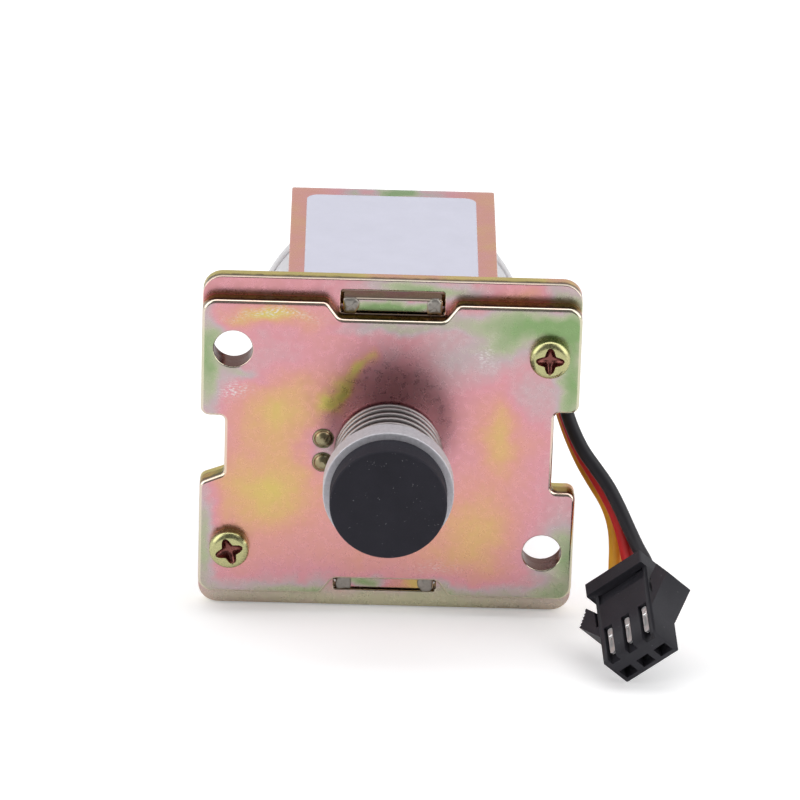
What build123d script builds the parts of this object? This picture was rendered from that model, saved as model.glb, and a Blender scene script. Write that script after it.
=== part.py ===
"""Gas solenoid valve: a latching coil in a steel yoke, and a sprung plunger with a rubber seal.

Millimetres. The solenoid's axis lies along Y, with the seal towards -Y and the coil towards +Y.
The origin is where that axis crosses the mounting plate's front face, midway between the two mounting holes.
"""

import math
import os

from build123d import *

os.makedirs("parts", exist_ok=True)

# How closely an edge or corner has to match a size to be picked by it
match_tolerance = 0.01

# Plates
plate_width = 44.0
front_plate_thickness = 2.0
front_plate_margin = 0.15
rear_plate_thickness = 2.0
rear_plate_margin = 2.35
front_corner_radius = 1.7
rear_corner_radius = 2.3
punched_edge_radius = 0.3
mounting_hole_diameter = 4.5
mounting_hole_inset = (3.65, 6.05)
rear_hole_allowance = 0.5
plate_screw_inset = (3.65, 5.95)

# Notches of the plates
notch_depth = 2.85
left_notch_top = 4.0
left_notch_bottom = -3.4
left_notch_slope = 1.2
right_notch_top = 5.4
right_notch_bottom = -4.8
notch_inner_radius = 0.7
notch_outer_radius = 1.0
rear_notch_allowance = 0.35
tab_notch_floor_gap = 0.4
tab_notch_side_gap = 0.35
tab_notch_flare = 1.5
tab_notch_radius = 0.75

# Pips pressed into the front plate beside the spring
pip_radius = 1.0
pip_height = 0.7
pip_spring_gap = 0.25
pip_spacing = 3.0

# Yoke
yoke_width = 24.5
yoke_sheet = 1.5
yoke_length = 35.0
yoke_bend_radius = 0.9
tab_width = 11.5
tab_slot_side_gap = 0.25
tab_slot_inner_gap = 0.3
upper_slot_outer_gap = 1.0
lower_slot_outer_gap = 0.3
tab_slot_corner_radius = 0.3
tab_proud = 0.1
stake_width = 1.8
stake_height = 1.9
stake_proud = 0.35
stake_depth = 0.7
stake_corner_radius = 0.72

# Label
label_width = 20.4
label_length = 29.1
label_thickness = 0.12
label_front_gap = 1.5
label_offset_x = -0.2
label_corner_radius = 1.5

# Coil
coil_yoke_gap = 0.7
flange_proud = 0.4
flange_thickness = 1.5
flange_rim_chamfer = 0.4
bobbin_wall = 1.2
bobbin_end_gap = 0.1
nest_gap = 0.05
pull_in_winding_thickness = 4.9
winding_insulation_thickness = 0.3
holding_winding_thickness = 3.84
coil_wrap_thickness = 0.5

# Guide tube, plunger and fixed core
plunger_radius = 4.75
plunger_chamfer = 0.475
plunger_running_gap = 0.06
tube_wall = 0.35
tube_length = 28.5
tube_flange_thickness = 0.5
tube_hole_gap = 0.1
bore_hole_gap = 0.59
o_ring_land = 0.7
o_ring_width = 1.2
o_ring_thickness = 0.75
o_ring_chamfer = 0.25
core_front_y = 22.0
core_seat_gap = 0.05
core_rivet_radius = 3.0
core_rivet_head_radius = 4.2
core_rivet_head_height = 0.8
core_rivet_head_taper = 0.4
core_ring_y = 25.0
core_ring_depth = 0.9
stroke = 3.0
stop_gap = 0.05
washer_thickness = 0.2
washer_radius = 4.4

# Spring
spring_wire_radius = 0.35
spring_wire_sides = 12
spring_bore_gap = 0.3
spring_free_length = 9.1
spring_closed_pitch = 0.72
spring_active_turns = 5
spring_seat_gap = 0.02

# Valve disc and seal
disc_radius = 7.55
disc_thickness = 2.7
disc_edge_radius = 0.35
hub_length = 1.1
hub_spring_gap = 0.15
boss_neck_radius = 3.6
boss_neck_length = 1.0
boss_head_radius = 4.4
boss_head_length = 0.9
seal_radius = 6.75
seal_thickness = 3.35
seal_edge_radius = 0.25
seal_fit_gap = 0.03
rivet_neck_radius = 1.6
rivet_head_radius = 2.5
rivet_head_taper = 0.5
rivet_head_recess = 0.14
rivet_pocket_depth = 0.7

# Plate screws
screw_head_radius = 2.35
screw_head_height = 1.7
screw_head_crown = 0.75
screw_thread_radius = 1.25
screw_pass_gap = 0.2
screw_thread_gap = 0.03
screw_thread_length = 4.0
cross_width = 0.75
cross_span = 3.1
cross_inner_radius = 0.45
cross_depth = 1.1
cross_turns = (0.0, 20.0)

# Lead block of the bobbin, terminals and leads
lead_radius = 0.8
lead_pitch_x = 0.4
lead_pitch_y = 1.7
first_lead_place = (19.9, 6.0)
lead_block_bottom = 10.2
lead_block_height = 2.4
lead_block_margin = 1.4
terminal_radius = 0.35
terminal_proud = 1.8

# Plug, in its own frame: x along the row of contacts, y towards the leads, z out of its open face
plug_place = (28.081, -18.785, -15.416)
plug_row = (0.7386, -0.1799, 0.6497)
plug_open_face = (-0.6693, -0.3107, 0.6749)
contact_pitch = 2.54
plug_width = 7.7
plug_thickness = 4.42
plug_nose_length = 10.5
collar_length = 1.9
collar_proud = 0.9
collar_side = 0.55
plug_edge_radius = 0.2
window_width = 1.7
window_height = 1.5
window_centre_z = -3.1
cavity_front_length = 7.0
cavity_overlap = 1.0
cavity_rear_width = 1.9
cavity_rear_height = 2.3
lead_line_z = -2.6
slot_width = 1.2
slot_length = 5.1
slot_depth = 0.9
slot_deep_from = 3.7
latch_root_front = 4.3
latch_root_rear = 8.1
latch_tip = (6.6, 7.7)
latch_rear_tip = (5.3, 9.9)
latch_top_drop = 0.1
latch_slit = 0.35
latch_slit_length = 2.1
latch_slit_overrun = 0.2
latch_root_overlap = 0.4
latch_teeth = 6
latch_tooth_depth = 0.28
latch_tooth_slope_share = 0.8
panel_width = 6.6
panel_length = 1.5
panel_depth = 0.35
contact_strip_width = 0.66
contact_strip_thickness = 0.32
contact_strip_front = 1.1
contact_strip_rear = 4.95
contact_strip_drop = 0.35
contact_box_width = 1.4
contact_box_height = 1.3
contact_box_front = 1.6
barrel_start = 6.6
barrel_end = 10.4
barrel_radius = 0.8
barrel_overlap = 0.4
contact_strip_corner_radius = 0.264
dimple_radius = 0.16
dimple_setback = 1.452
dimple_depth = 0.192

# Routes of the three leads, from the lead block to the plug's collar
lead_points = {
    "black": [
        (19.9, 6.0, 7.7),
        (20.3, 5.6, 4.9),
        (21.3, 4.6, 2.1),
        (22.7, 3.4, -0.5),
        (24.3, 2.3, -2.3),
        (25.9, 1.1, -4.1),
        (27.2, -0.4, -6.1),
        (28.3, -2.0, -8.0),
        (29.4, -3.9, -9.7),
    ],
    "red": [
        (19.5, 7.7, 7.4),
        (20.1, 7.2, 4.3),
        (21.2, 6.2, 1.2),
        (22.7, 4.9, -1.7),
        (24.3, 3.5, -3.7),
        (25.8, 2.1, -5.7),
        (27.0, 0.6, -7.6),
        (27.8, -1.2, -9.5),
        (28.3, -3.3, -11.2),
    ],
    "yellow": [
        (19.1, 9.4, 7.2),
        (19.8, 8.9, 3.8),
        (21.1, 7.6, 0.2),
        (22.7, 6.1, -3.0),
        (24.3, 4.6, -5.2),
        (25.9, 3.2, -7.2),
        (26.8, 1.5, -9.2),
        (27.0, -0.5, -11.1),
        (26.9, -2.7, -12.8),
    ],
}
lead_straight_end = 13.1
lead_arc_share = 0.45

# Sizes and places worked out from the sizes above, from the plunger outwards
tube_bore_radius = plunger_radius + plunger_running_gap
tube_outer_radius = tube_bore_radius + tube_wall
bore_hole_radius = tube_bore_radius + bore_hole_gap
o_ring_mean_radius = bore_hole_radius + o_ring_land + o_ring_width / 2
tube_flange_radius = o_ring_mean_radius + o_ring_width / 2 + o_ring_land
spring_outer_radius = bore_hole_radius + spring_bore_gap + 2 * spring_wire_radius
pip_place_x = -(spring_outer_radius + pip_spring_gap + pip_radius)
bobbin_bore_radius = tube_outer_radius + tube_hole_gap
barrel_outer_radius = bobbin_bore_radius + bobbin_wall
pull_in_inner = barrel_outer_radius + nest_gap
pull_in_outer = pull_in_inner + pull_in_winding_thickness
insulation_inner = pull_in_outer + nest_gap
insulation_outer = insulation_inner + winding_insulation_thickness
holding_inner = insulation_outer + nest_gap
holding_outer = holding_inner + holding_winding_thickness
wrap_inner = holding_outer + nest_gap
coil_radius = wrap_inner + coil_wrap_thickness
yoke_height = 2 * (coil_radius + coil_yoke_gap + yoke_sheet)
front_plate_height = yoke_height + 2 * front_plate_margin
rear_plate_height = yoke_height + 2 * rear_plate_margin
front_plate_back = front_plate_thickness
rear_plate_back = front_plate_back + rear_plate_thickness
yoke_back = rear_plate_back + yoke_length
yoke_inner_back = yoke_back - yoke_sheet
leg_centre_z = (yoke_height - yoke_sheet) / 2
tab_front = front_plate_back - tab_proud
tube_front = front_plate_back - tube_flange_thickness
bobbin_front = rear_plate_back + bobbin_end_gap
bobbin_back = yoke_inner_back - bobbin_end_gap
winding_front = bobbin_front + flange_thickness
winding_back = bobbin_back - flange_thickness
disc_back = -spring_free_length
disc_front = disc_back - disc_thickness
seal_front = disc_front - seal_thickness
hub_radius = spring_outer_radius - 2 * spring_wire_radius - hub_spring_gap
hub_back = disc_back + hub_length
boss_front = disc_front - boss_neck_length - boss_head_length
plunger_back = core_front_y - washer_thickness - stop_gap - stroke
spring_mean_radius = spring_outer_radius - spring_wire_radius


def facing(y):
    """Plane across the solenoid's axis at y, seen from the seal: sketch x is +X, sketch y is +Z."""
    return Plane(origin=(0, y, 0), x_dir=(1, 0, 0), z_dir=(0, -1, 0))


def ring(inner, outer, front, back):
    """Adds the profile of a plain ring round the Y axis to a sketch on the XY plane."""
    with Locations(((inner + outer) / 2, (front + back) / 2)):
        Rectangle(outer - inner, back - front)


def save(piece, name):
    piece.part.label = name
    export_step(piece.part, f"parts/{name}.step")


def side_notch(side, top, bottom, slope, allowance):
    """Outline of the notch in a plate's left or right edge; side is -1 or 1."""
    floor = side * (plate_width / 2 - notch_depth - allowance)
    mouth = side * (plate_width / 2 + notch_depth)
    edge = side * plate_width / 2
    return Polyline(
        (mouth, top + allowance),
        (floor, top + allowance),
        (floor, bottom - allowance),
        (edge, bottom - allowance - slope),
        (mouth, bottom - allowance - slope),
        close=True,
    )


def notched_plate(height, corner_radius, allowance):
    """Sketch of a plate with its two side notches, seen from the seal."""
    with BuildSketch() as outline:
        Rectangle(plate_width, height)
        fillet(outline.vertices(), corner_radius)
        with BuildSketch(mode=Mode.SUBTRACT):
            with BuildLine():
                side_notch(-1, left_notch_top, left_notch_bottom, left_notch_slope, allowance)
            make_face()
        with BuildSketch(mode=Mode.SUBTRACT):
            with BuildLine():
                side_notch(1, right_notch_top, right_notch_bottom, 0.0, allowance)
            make_face()
        corner_start = height / 2 - corner_radius - match_tolerance
        notch_corners = outline.vertices().filter_by(lambda v: abs(v.Y) < corner_start)
        floors = notch_corners.filter_by(lambda v: abs(v.X) < plate_width / 2 - match_tolerance)
        fillet(floors, notch_inner_radius)
        edge_points = outline.vertices().filter_by(lambda v: abs(v.X) > plate_width / 2 - match_tolerance)
        mouths = edge_points.filter_by(lambda v: abs(v.Y) < corner_start)
        fillet(mouths, notch_outer_radius)
    return outline.sketch_local


# Front plate: the mounting plate, with its ears, tab notches and pips
screw_x = plate_width / 2 - plate_screw_inset[0]
screw_z = front_plate_height / 2 - plate_screw_inset[1]
screw_places = [(screw_x, screw_z), (-screw_x, -screw_z)]
mounting_x = plate_width / 2 - mounting_hole_inset[0]
mounting_z = front_plate_height / 2 - mounting_hole_inset[1]
mounting_places = [(-mounting_x, mounting_z), (mounting_x, -mounting_z)]
pip_ball_radius = (pip_radius**2 + pip_height**2) / (2 * pip_height)
tab_notch_floor = yoke_height / 2 - yoke_sheet - tab_notch_floor_gap
tab_notch_floor_width = tab_width + 2 * tab_notch_side_gap
tab_notch_mouth_width = tab_notch_floor_width + 2 * tab_notch_flare

with BuildPart() as front_plate:
    with BuildSketch(facing(front_plate_back)) as front_outline:
        add(notched_plate(front_plate_height, front_corner_radius, 0.0))
        for side in (1, -1):
            with BuildSketch(mode=Mode.SUBTRACT):
                with BuildLine():
                    Polyline(
                        (-tab_notch_mouth_width / 2, side * front_plate_height / 2),
                        (-tab_notch_floor_width / 2, side * tab_notch_floor),
                        (tab_notch_floor_width / 2, side * tab_notch_floor),
                        (tab_notch_mouth_width / 2, side * front_plate_height / 2),
                        close=True,
                    )
                make_face()
        tab_notch_corners = front_outline.vertices().filter_by(
            lambda v: abs(v.X) < tab_notch_mouth_width / 2 + match_tolerance
        )
        fillet(tab_notch_corners, tab_notch_radius)
    extrude(amount=front_plate_thickness)
    rim = front_plate.faces().sort_by(Axis.Y)[0].outer_wire().edges()
    fillet(rim, punched_edge_radius)
    for place_z in (-pip_spacing / 2, pip_spacing / 2):
        with Locations((pip_place_x, pip_ball_radius - pip_height, place_z)):
            Sphere(pip_ball_radius)
    with BuildSketch(facing(front_plate_back)):
        Circle(bore_hole_radius)
        with Locations(*mounting_places):
            Circle(mounting_hole_diameter / 2)
        with Locations(*screw_places):
            Circle(screw_thread_radius + screw_pass_gap)
    extrude(amount=front_plate_thickness, mode=Mode.SUBTRACT)
    with BuildSketch(facing(front_plate_back)):
        Circle(tube_flange_radius + tube_hole_gap)
    extrude(amount=tube_flange_thickness, mode=Mode.SUBTRACT)
    with BuildSketch(facing(tube_front)):
        Circle(o_ring_mean_radius + o_ring_width / 2)
        Circle(o_ring_mean_radius - o_ring_width / 2, mode=Mode.SUBTRACT)
    extrude(amount=o_ring_thickness, mode=Mode.SUBTRACT)
save(front_plate, "front_plate")

# Rear plate: closes the magnetic circuit, slotted for the yoke's tabs and tapped for the screws
slot_inner_edge = yoke_height / 2 - yoke_sheet - tab_slot_inner_gap
upper_slot_edge = yoke_height / 2 + upper_slot_outer_gap
lower_slot_edge = yoke_height / 2 + lower_slot_outer_gap

with BuildPart() as rear_plate:
    with BuildSketch(facing(rear_plate_back)):
        add(notched_plate(rear_plate_height, rear_corner_radius, rear_notch_allowance))
    extrude(amount=rear_plate_thickness)
    rim = rear_plate.faces().sort_by(Axis.Y)[0].outer_wire().edges()
    fillet(rim, punched_edge_radius)
    with BuildSketch(facing(rear_plate_back)):
        Circle(bobbin_bore_radius)
        with Locations(*mounting_places):
            Circle((mounting_hole_diameter + rear_hole_allowance) / 2)
        with Locations(*screw_places):
            Circle(screw_thread_radius + screw_thread_gap)
        for side, slot_edge in ((1, upper_slot_edge), (-1, lower_slot_edge)):
            with Locations((0, side * (slot_inner_edge + slot_edge) / 2)):
                RectangleRounded(
                    tab_width + 2 * tab_slot_side_gap, slot_edge - slot_inner_edge, tab_slot_corner_radius
                )
    extrude(amount=rear_plate_thickness, mode=Mode.SUBTRACT)
save(rear_plate, "rear_plate")

# Plate screws: pan heads on the front plate, threads in the rear plate
with BuildPart() as plate_screws:
    for (place_x, place_z), turn in zip(screw_places, cross_turns):
        head_plane = Plane(origin=(place_x, 0, place_z), x_dir=(1, 0, 0), z_dir=(0, -1, 0))
        with BuildSketch(head_plane):
            Circle(screw_head_radius)
        extrude(amount=screw_head_height)
        with BuildSketch(head_plane):
            Circle(screw_thread_radius)
        extrude(amount=-screw_thread_length)
    crowns = plate_screws.faces().filter_by(Axis.Y).group_by(Axis.Y)[0]
    fillet(crowns.edges(), screw_head_crown)
    for (place_x, place_z), turn in zip(screw_places, cross_turns):
        cross_plane = Plane(
            origin=(place_x, -screw_head_height, place_z), x_dir=(1, 0, 0), z_dir=(0, -1, 0)
        )
        with BuildSketch(cross_plane) as cross:
            Rectangle(cross_span, cross_width, rotation=turn)
            Rectangle(cross_width, cross_span, rotation=turn)
            inner_corners = cross.vertices().filter_by(lambda v: math.hypot(v.X, v.Y) < cross_width)
            fillet(inner_corners, cross_inner_radius)
        extrude(amount=-cross_depth, mode=Mode.SUBTRACT)
save(plate_screws, "plate_screws")

# Yoke: one bent sheet, with a tab at the end of each leg, staked over at both corners
with BuildPart() as yoke:
    with BuildSketch(Plane.YZ) as bend:
        with Locations((rear_plate_back + yoke_length / 2, 0)):
            Rectangle(yoke_length, yoke_height)
        fillet(bend.vertices().group_by(Axis.X)[-1], yoke_bend_radius + yoke_sheet)
        with BuildSketch(mode=Mode.SUBTRACT) as hollow:
            with Locations((rear_plate_back + (yoke_length - yoke_sheet) / 2, 0)):
                Rectangle(yoke_length - yoke_sheet, yoke_height - 2 * yoke_sheet)
            fillet(hollow.vertices().group_by(Axis.X)[-1], yoke_bend_radius)
    extrude(amount=yoke_width / 2, both=True)
    with BuildSketch(facing(rear_plate_back)):
        with Locations((0, leg_centre_z), (0, -leg_centre_z)):
            Rectangle(tab_width, yoke_sheet)
    extrude(amount=rear_plate_back - tab_front)
    stake_x = (tab_width - stake_width) / 2
    with BuildSketch(facing(tab_front + stake_proud)):
        with Locations(*[(x, z) for x in (-stake_x, stake_x) for z in (-leg_centre_z, leg_centre_z)]):
            RectangleRounded(stake_width, stake_height, stake_corner_radius)
    extrude(amount=stake_depth)
    with BuildSketch(facing(yoke_back)):
        Circle(core_rivet_radius + core_seat_gap)
    extrude(amount=2 * yoke_sheet, mode=Mode.SUBTRACT)
save(yoke, "yoke")

# Label: a bare sticker on the yoke's top face
with BuildPart() as label:
    with BuildSketch(Plane.XY.offset(yoke_height / 2)):
        with Locations((label_offset_x, rear_plate_back + label_front_gap + label_length / 2)):
            RectangleRounded(label_width, label_length, label_corner_radius)
    extrude(amount=label_thickness)
save(label, "label")

# Bobbin: a spool with a block at its front flange for the three leads
flange_radius = coil_radius + flange_proud
lead_places = [
    (first_lead_place[0] - i * lead_pitch_x, first_lead_place[1] + i * lead_pitch_y) for i in range(3)
]
block_right = lead_places[0][0] + lead_block_margin
block_back = lead_places[2][1] + lead_block_margin
block_left = math.sqrt((flange_radius + nest_gap) ** 2 - lead_block_bottom**2)

with BuildPart() as bobbin:
    with BuildSketch(Plane.XY):
        ring(bobbin_bore_radius, barrel_outer_radius, bobbin_front, bobbin_back)
        ring(bobbin_bore_radius, flange_radius, bobbin_front, winding_front)
        ring(bobbin_bore_radius, flange_radius, winding_back, bobbin_back)
    revolve(axis=Axis.Y)
    flange_rims = bobbin.edges().filter_by(GeomType.CIRCLE).filter_by(
        lambda e: abs(e.radius - flange_radius) < match_tolerance
    )
    chamfer(flange_rims, flange_rim_chamfer)
    with BuildSketch(Plane.XY.offset(lead_block_bottom)):
        with Locations(((block_left + block_right) / 2, (bobbin_front + block_back) / 2)):
            Rectangle(block_right - block_left, block_back - bobbin_front)
        with Locations((block_left, (bobbin_front + winding_front) / 2)):
            Rectangle(barrel_outer_radius, flange_thickness)
    extrude(amount=lead_block_height)
    with BuildSketch(Plane.XY.offset(lead_block_bottom)):
        with Locations(*lead_places):
            Circle(terminal_radius + nest_gap)
    extrude(amount=lead_block_height, mode=Mode.SUBTRACT)
save(bobbin, "bobbin")

# Terminals: pins through the block, where each lead meets its winding
with BuildPart() as coil_terminals:
    with BuildSketch(Plane.XY.offset(lead_block_bottom)):
        with Locations(*lead_places):
            Circle(terminal_radius)
    extrude(amount=lead_block_height + terminal_proud)
save(coil_terminals, "coil_terminals")

# Windings, each a closed layer on the spool
layers = {
    "pull_in_winding": (pull_in_inner, pull_in_outer),
    "winding_insulation": (insulation_inner, insulation_outer),
    "holding_winding": (holding_inner, holding_outer),
    "coil_wrap": (wrap_inner, coil_radius),
}
for layer_name, (layer_inner, layer_outer) in layers.items():
    with BuildPart() as layer:
        with BuildSketch(Plane.XY):
            ring(layer_inner, layer_outer, winding_front + nest_gap, winding_back - nest_gap)
        revolve(axis=Axis.Y)
    save(layer, layer_name)

# Guide tube: keeps the gas in with the plunger, and its flange is clamped between the plates
with BuildPart() as guide_tube:
    with BuildSketch(Plane.XY):
        ring(tube_bore_radius, tube_outer_radius, tube_front, tube_front + tube_length)
        ring(tube_bore_radius, tube_flange_radius, tube_front, front_plate_back)
    revolve(axis=Axis.Y)
save(guide_tube, "guide_tube")

# Seal ring between the flange and the front plate
with BuildPart() as plate_o_ring:
    with BuildSketch(Plane.XY) as plate_ring_section:
        with Locations((o_ring_mean_radius, tube_front - o_ring_thickness / 2)):
            Rectangle(o_ring_width - 2 * nest_gap, o_ring_thickness)
        chamfer(plate_ring_section.vertices(), o_ring_chamfer)
    revolve(axis=Axis.Y)
save(plate_o_ring, "plate_o_ring")

# Fixed core: riveted through the yoke's back, with a groove for its seal ring
core_radius = tube_bore_radius - core_seat_gap
groove_radius = core_radius - core_ring_depth

with BuildPart() as fixed_core:
    with BuildSketch(Plane.XY):
        with BuildLine():
            Polyline(
                (0, core_front_y),
                (core_radius, core_front_y),
                (core_radius, core_ring_y),
                (groove_radius, core_ring_y),
                (groove_radius, core_ring_y + o_ring_width),
                (core_radius, core_ring_y + o_ring_width),
                (core_radius, yoke_inner_back),
                (core_rivet_radius, yoke_inner_back),
                (core_rivet_radius, yoke_back),
                (core_rivet_head_radius, yoke_back),
                (core_rivet_head_radius - core_rivet_head_taper, yoke_back + core_rivet_head_height),
                (0, yoke_back + core_rivet_head_height),
                close=True,
            )
        make_face()
    revolve(axis=Axis.Y)
save(fixed_core, "fixed_core")

with BuildPart() as core_o_ring:
    with BuildSketch(Plane.XY) as core_ring_section:
        with Locations(((groove_radius + tube_bore_radius) / 2, core_ring_y + o_ring_width / 2)):
            Rectangle(tube_bore_radius - groove_radius - 2 * nest_gap, o_ring_width - 2 * nest_gap)
        chamfer(core_ring_section.vertices(), o_ring_chamfer)
    revolve(axis=Axis.Y)
save(core_o_ring, "core_o_ring")

with BuildPart() as anti_stick_washer:
    with BuildSketch(facing(core_front_y)):
        Circle(washer_radius)
    extrude(amount=washer_thickness)
save(anti_stick_washer, "anti_stick_washer")

# Plunger: its thin neck goes through the valve disc and is spun over in front of it
rivet_seat = boss_front + rivet_pocket_depth
rivet_head_front = boss_front + rivet_head_recess

with BuildPart() as plunger:
    with BuildSketch(Plane.XY):
        with BuildLine():
            Polyline(
                (0, plunger_back),
                (plunger_radius - plunger_chamfer, plunger_back),
                (plunger_radius, plunger_back - plunger_chamfer),
                (plunger_radius, hub_back + plunger_chamfer),
                (plunger_radius - plunger_chamfer, hub_back),
                (rivet_neck_radius, hub_back),
                (rivet_neck_radius, rivet_seat),
                (rivet_head_radius, rivet_seat),
                (rivet_head_radius - rivet_head_taper, rivet_head_front),
                (0, rivet_head_front),
                close=True,
            )
        make_face()
    revolve(axis=Axis.Y)
save(plunger, "plunger")

# Valve disc: a hub that centres the spring behind, and a mushroom boss in front that holds the seal
neck_hole = rivet_neck_radius + nest_gap
pocket_radius = rivet_head_radius + 2 * nest_gap

with BuildPart() as valve_disc:
    with BuildSketch(Plane.XY):
        with BuildLine():
            Polyline(
                (neck_hole, hub_back),
                (hub_radius, hub_back),
                (hub_radius, disc_back),
                (disc_radius, disc_back),
                (disc_radius, disc_front),
                (boss_neck_radius, disc_front),
                (boss_neck_radius, disc_front - boss_neck_length),
                (boss_head_radius, disc_front - boss_neck_length),
                (boss_head_radius, boss_front),
                (pocket_radius, boss_front),
                (pocket_radius, rivet_seat),
                (neck_hole, rivet_seat),
                close=True,
            )
        make_face()
    revolve(axis=Axis.Y)
    rims = valve_disc.edges().filter_by(GeomType.CIRCLE).filter_by(
        lambda e: abs(e.radius - disc_radius) < match_tolerance
    )
    fillet(rims, disc_edge_radius)
save(valve_disc, "valve_disc")

# Seal: a rubber pad snapped over the disc's boss
with BuildPart() as seal_pad:
    with BuildSketch(Plane.XY):
        with BuildLine():
            Polyline(
                (boss_neck_radius + seal_fit_gap, disc_front),
                (seal_radius, disc_front),
                (seal_radius, seal_front),
                (0, seal_front),
                (0, boss_front - seal_fit_gap),
                (boss_head_radius + seal_fit_gap, boss_front - seal_fit_gap),
                (boss_head_radius + seal_fit_gap, disc_front - boss_neck_length + seal_fit_gap),
                (boss_neck_radius + seal_fit_gap, disc_front - boss_neck_length + seal_fit_gap),
                close=True,
            )
        make_face()
    revolve(axis=Axis.Y)
    front_rim = seal_pad.edges().filter_by(GeomType.CIRCLE).filter_by(
        lambda e: abs(e.radius - seal_radius) < match_tolerance
    )
    fillet(front_rim.sort_by(Axis.Y)[0], seal_edge_radius)
save(seal_pad, "seal_pad")

# Return spring: closed end turns, and open turns between them
spring_start = -(spring_wire_radius + spring_seat_gap)
spring_height = spring_free_length - 2 * (spring_wire_radius + spring_seat_gap)
active_height = spring_height - 2 * spring_closed_pitch
spring_spans = [
    (spring_closed_pitch, spring_closed_pitch),
    (active_height / spring_active_turns, active_height),
    (spring_closed_pitch, spring_closed_pitch),
]

with BuildPart() as return_spring:
    with BuildLine() as coil_line:
        span_start = spring_start
        for pitch, height in spring_spans:
            Helix(
                pitch=pitch,
                height=height,
                radius=spring_mean_radius,
                center=(0, span_start, 0),
                direction=(0, -1, 0),
            )
            span_start -= height
    start_point = coil_line.wires()[0] @ 0
    start_way = coil_line.wires()[0] % 0
    with BuildSketch(Plane(origin=start_point, z_dir=start_way)):
        RegularPolygon(spring_wire_radius, spring_wire_sides)
    sweep(path=coil_line.wires()[0], is_frenet=True)
save(return_spring, "return_spring")

# Plug housing: nose with windows and slots, collar, and a serrated latch on each side
plug_length_way = Vector(*plug_open_face).cross(Vector(*plug_row)).normalized()
plug_top = Plane(origin=plug_place, x_dir=plug_row, z_dir=plug_open_face)
contact_rows = [-contact_pitch, 0.0, contact_pitch]
plug_rear = plug_nose_length + collar_length
latch_slit_centre = latch_root_rear - (latch_slit_length - latch_slit_overrun) / 2


def plug_section(length):
    """Plane across the plug at this distance from its nose: sketch y is out of the open face."""
    return Plane(
        origin=Vector(*plug_place) + plug_length_way * length, x_dir=plug_row, z_dir=-plug_length_way
    )


def latch_outline(side):
    """A latch's profile, with teeth along its outer end."""
    tip = Vector(side * latch_tip[0], latch_tip[1])
    rear_tip = Vector(side * latch_rear_tip[0], latch_rear_tip[1])
    along = (rear_tip - tip) / latch_teeth
    inward = Vector(-side * abs(along.Y), -abs(along.X)).normalized() * latch_tooth_depth
    points = [
        Vector(side * (plug_width / 2 - latch_root_overlap), latch_root_front),
        Vector(side * plug_width / 2, latch_root_front),
    ]
    for tooth in range(latch_teeth - 1):
        points += [tip + along * tooth, tip + along * (tooth + latch_tooth_slope_share) + inward]
    points += [
        tip + along * (latch_teeth - 1),
        rear_tip,
        Vector(side * plug_width / 2, latch_root_rear),
        Vector(side * (plug_width / 2 - latch_root_overlap), latch_root_rear),
    ]
    return Polyline(*points, close=True)


with BuildPart() as plug_housing:
    with BuildSketch(plug_section(plug_nose_length)):
        with Locations((0, -plug_thickness / 2)):
            RectangleRounded(plug_width, plug_thickness, plug_edge_radius)
    extrude(amount=plug_nose_length)
    with BuildSketch(plug_section(plug_rear)):
        with Locations((-collar_side / 2, (collar_proud - plug_thickness) / 2)):
            RectangleRounded(
                plug_width + collar_side, plug_thickness + collar_proud, plug_edge_radius
            )
    extrude(amount=collar_length)
    for side in (-1, 1):
        with BuildSketch(plug_top.offset(-latch_top_drop)):
            with BuildLine():
                latch_outline(side)
            make_face()
        extrude(amount=latch_top_drop - plug_thickness)
        with BuildSketch(plug_top.offset(-latch_top_drop)):
            with Locations((side * (plug_width + latch_slit) / 2, latch_slit_centre)):
                Rectangle(latch_slit, latch_slit_length + latch_slit_overrun)
        extrude(amount=-plug_thickness, mode=Mode.SUBTRACT)
    with BuildSketch(plug_section(cavity_front_length)):
        with Locations(*[(x, window_centre_z) for x in contact_rows]):
            Rectangle(window_width, window_height)
    extrude(amount=cavity_front_length, mode=Mode.SUBTRACT)
    with BuildSketch(plug_section(plug_rear)):
        with Locations(*[(x, lead_line_z) for x in contact_rows]):
            Rectangle(cavity_rear_width, cavity_rear_height)
    extrude(amount=plug_rear - cavity_front_length + cavity_overlap, mode=Mode.SUBTRACT)
    with BuildSketch(plug_top):
        with Locations(*[(x, slot_length / 2) for x in contact_rows]):
            Rectangle(slot_width, slot_length)
    extrude(amount=-slot_depth, mode=Mode.SUBTRACT)
    with BuildSketch(plug_top):
        with Locations(*[(x, (slot_length + slot_deep_from) / 2) for x in contact_rows]):
            Rectangle(slot_width, slot_length - slot_deep_from)
    extrude(amount=window_centre_z, mode=Mode.SUBTRACT)
    with BuildSketch(plug_top):
        with Locations((0, plug_nose_length - panel_length / 2)):
            Rectangle(panel_width, panel_length)
    extrude(amount=-panel_depth, mode=Mode.SUBTRACT)
save(plug_housing, "plug_housing")

# Plug contacts: a strip that shows in the slot, a box behind the window and a barrel for the lead
strip_top = -contact_strip_drop
strip_length = contact_strip_rear - contact_strip_front
leg_bottom = window_centre_z + contact_box_height / 2

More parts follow.
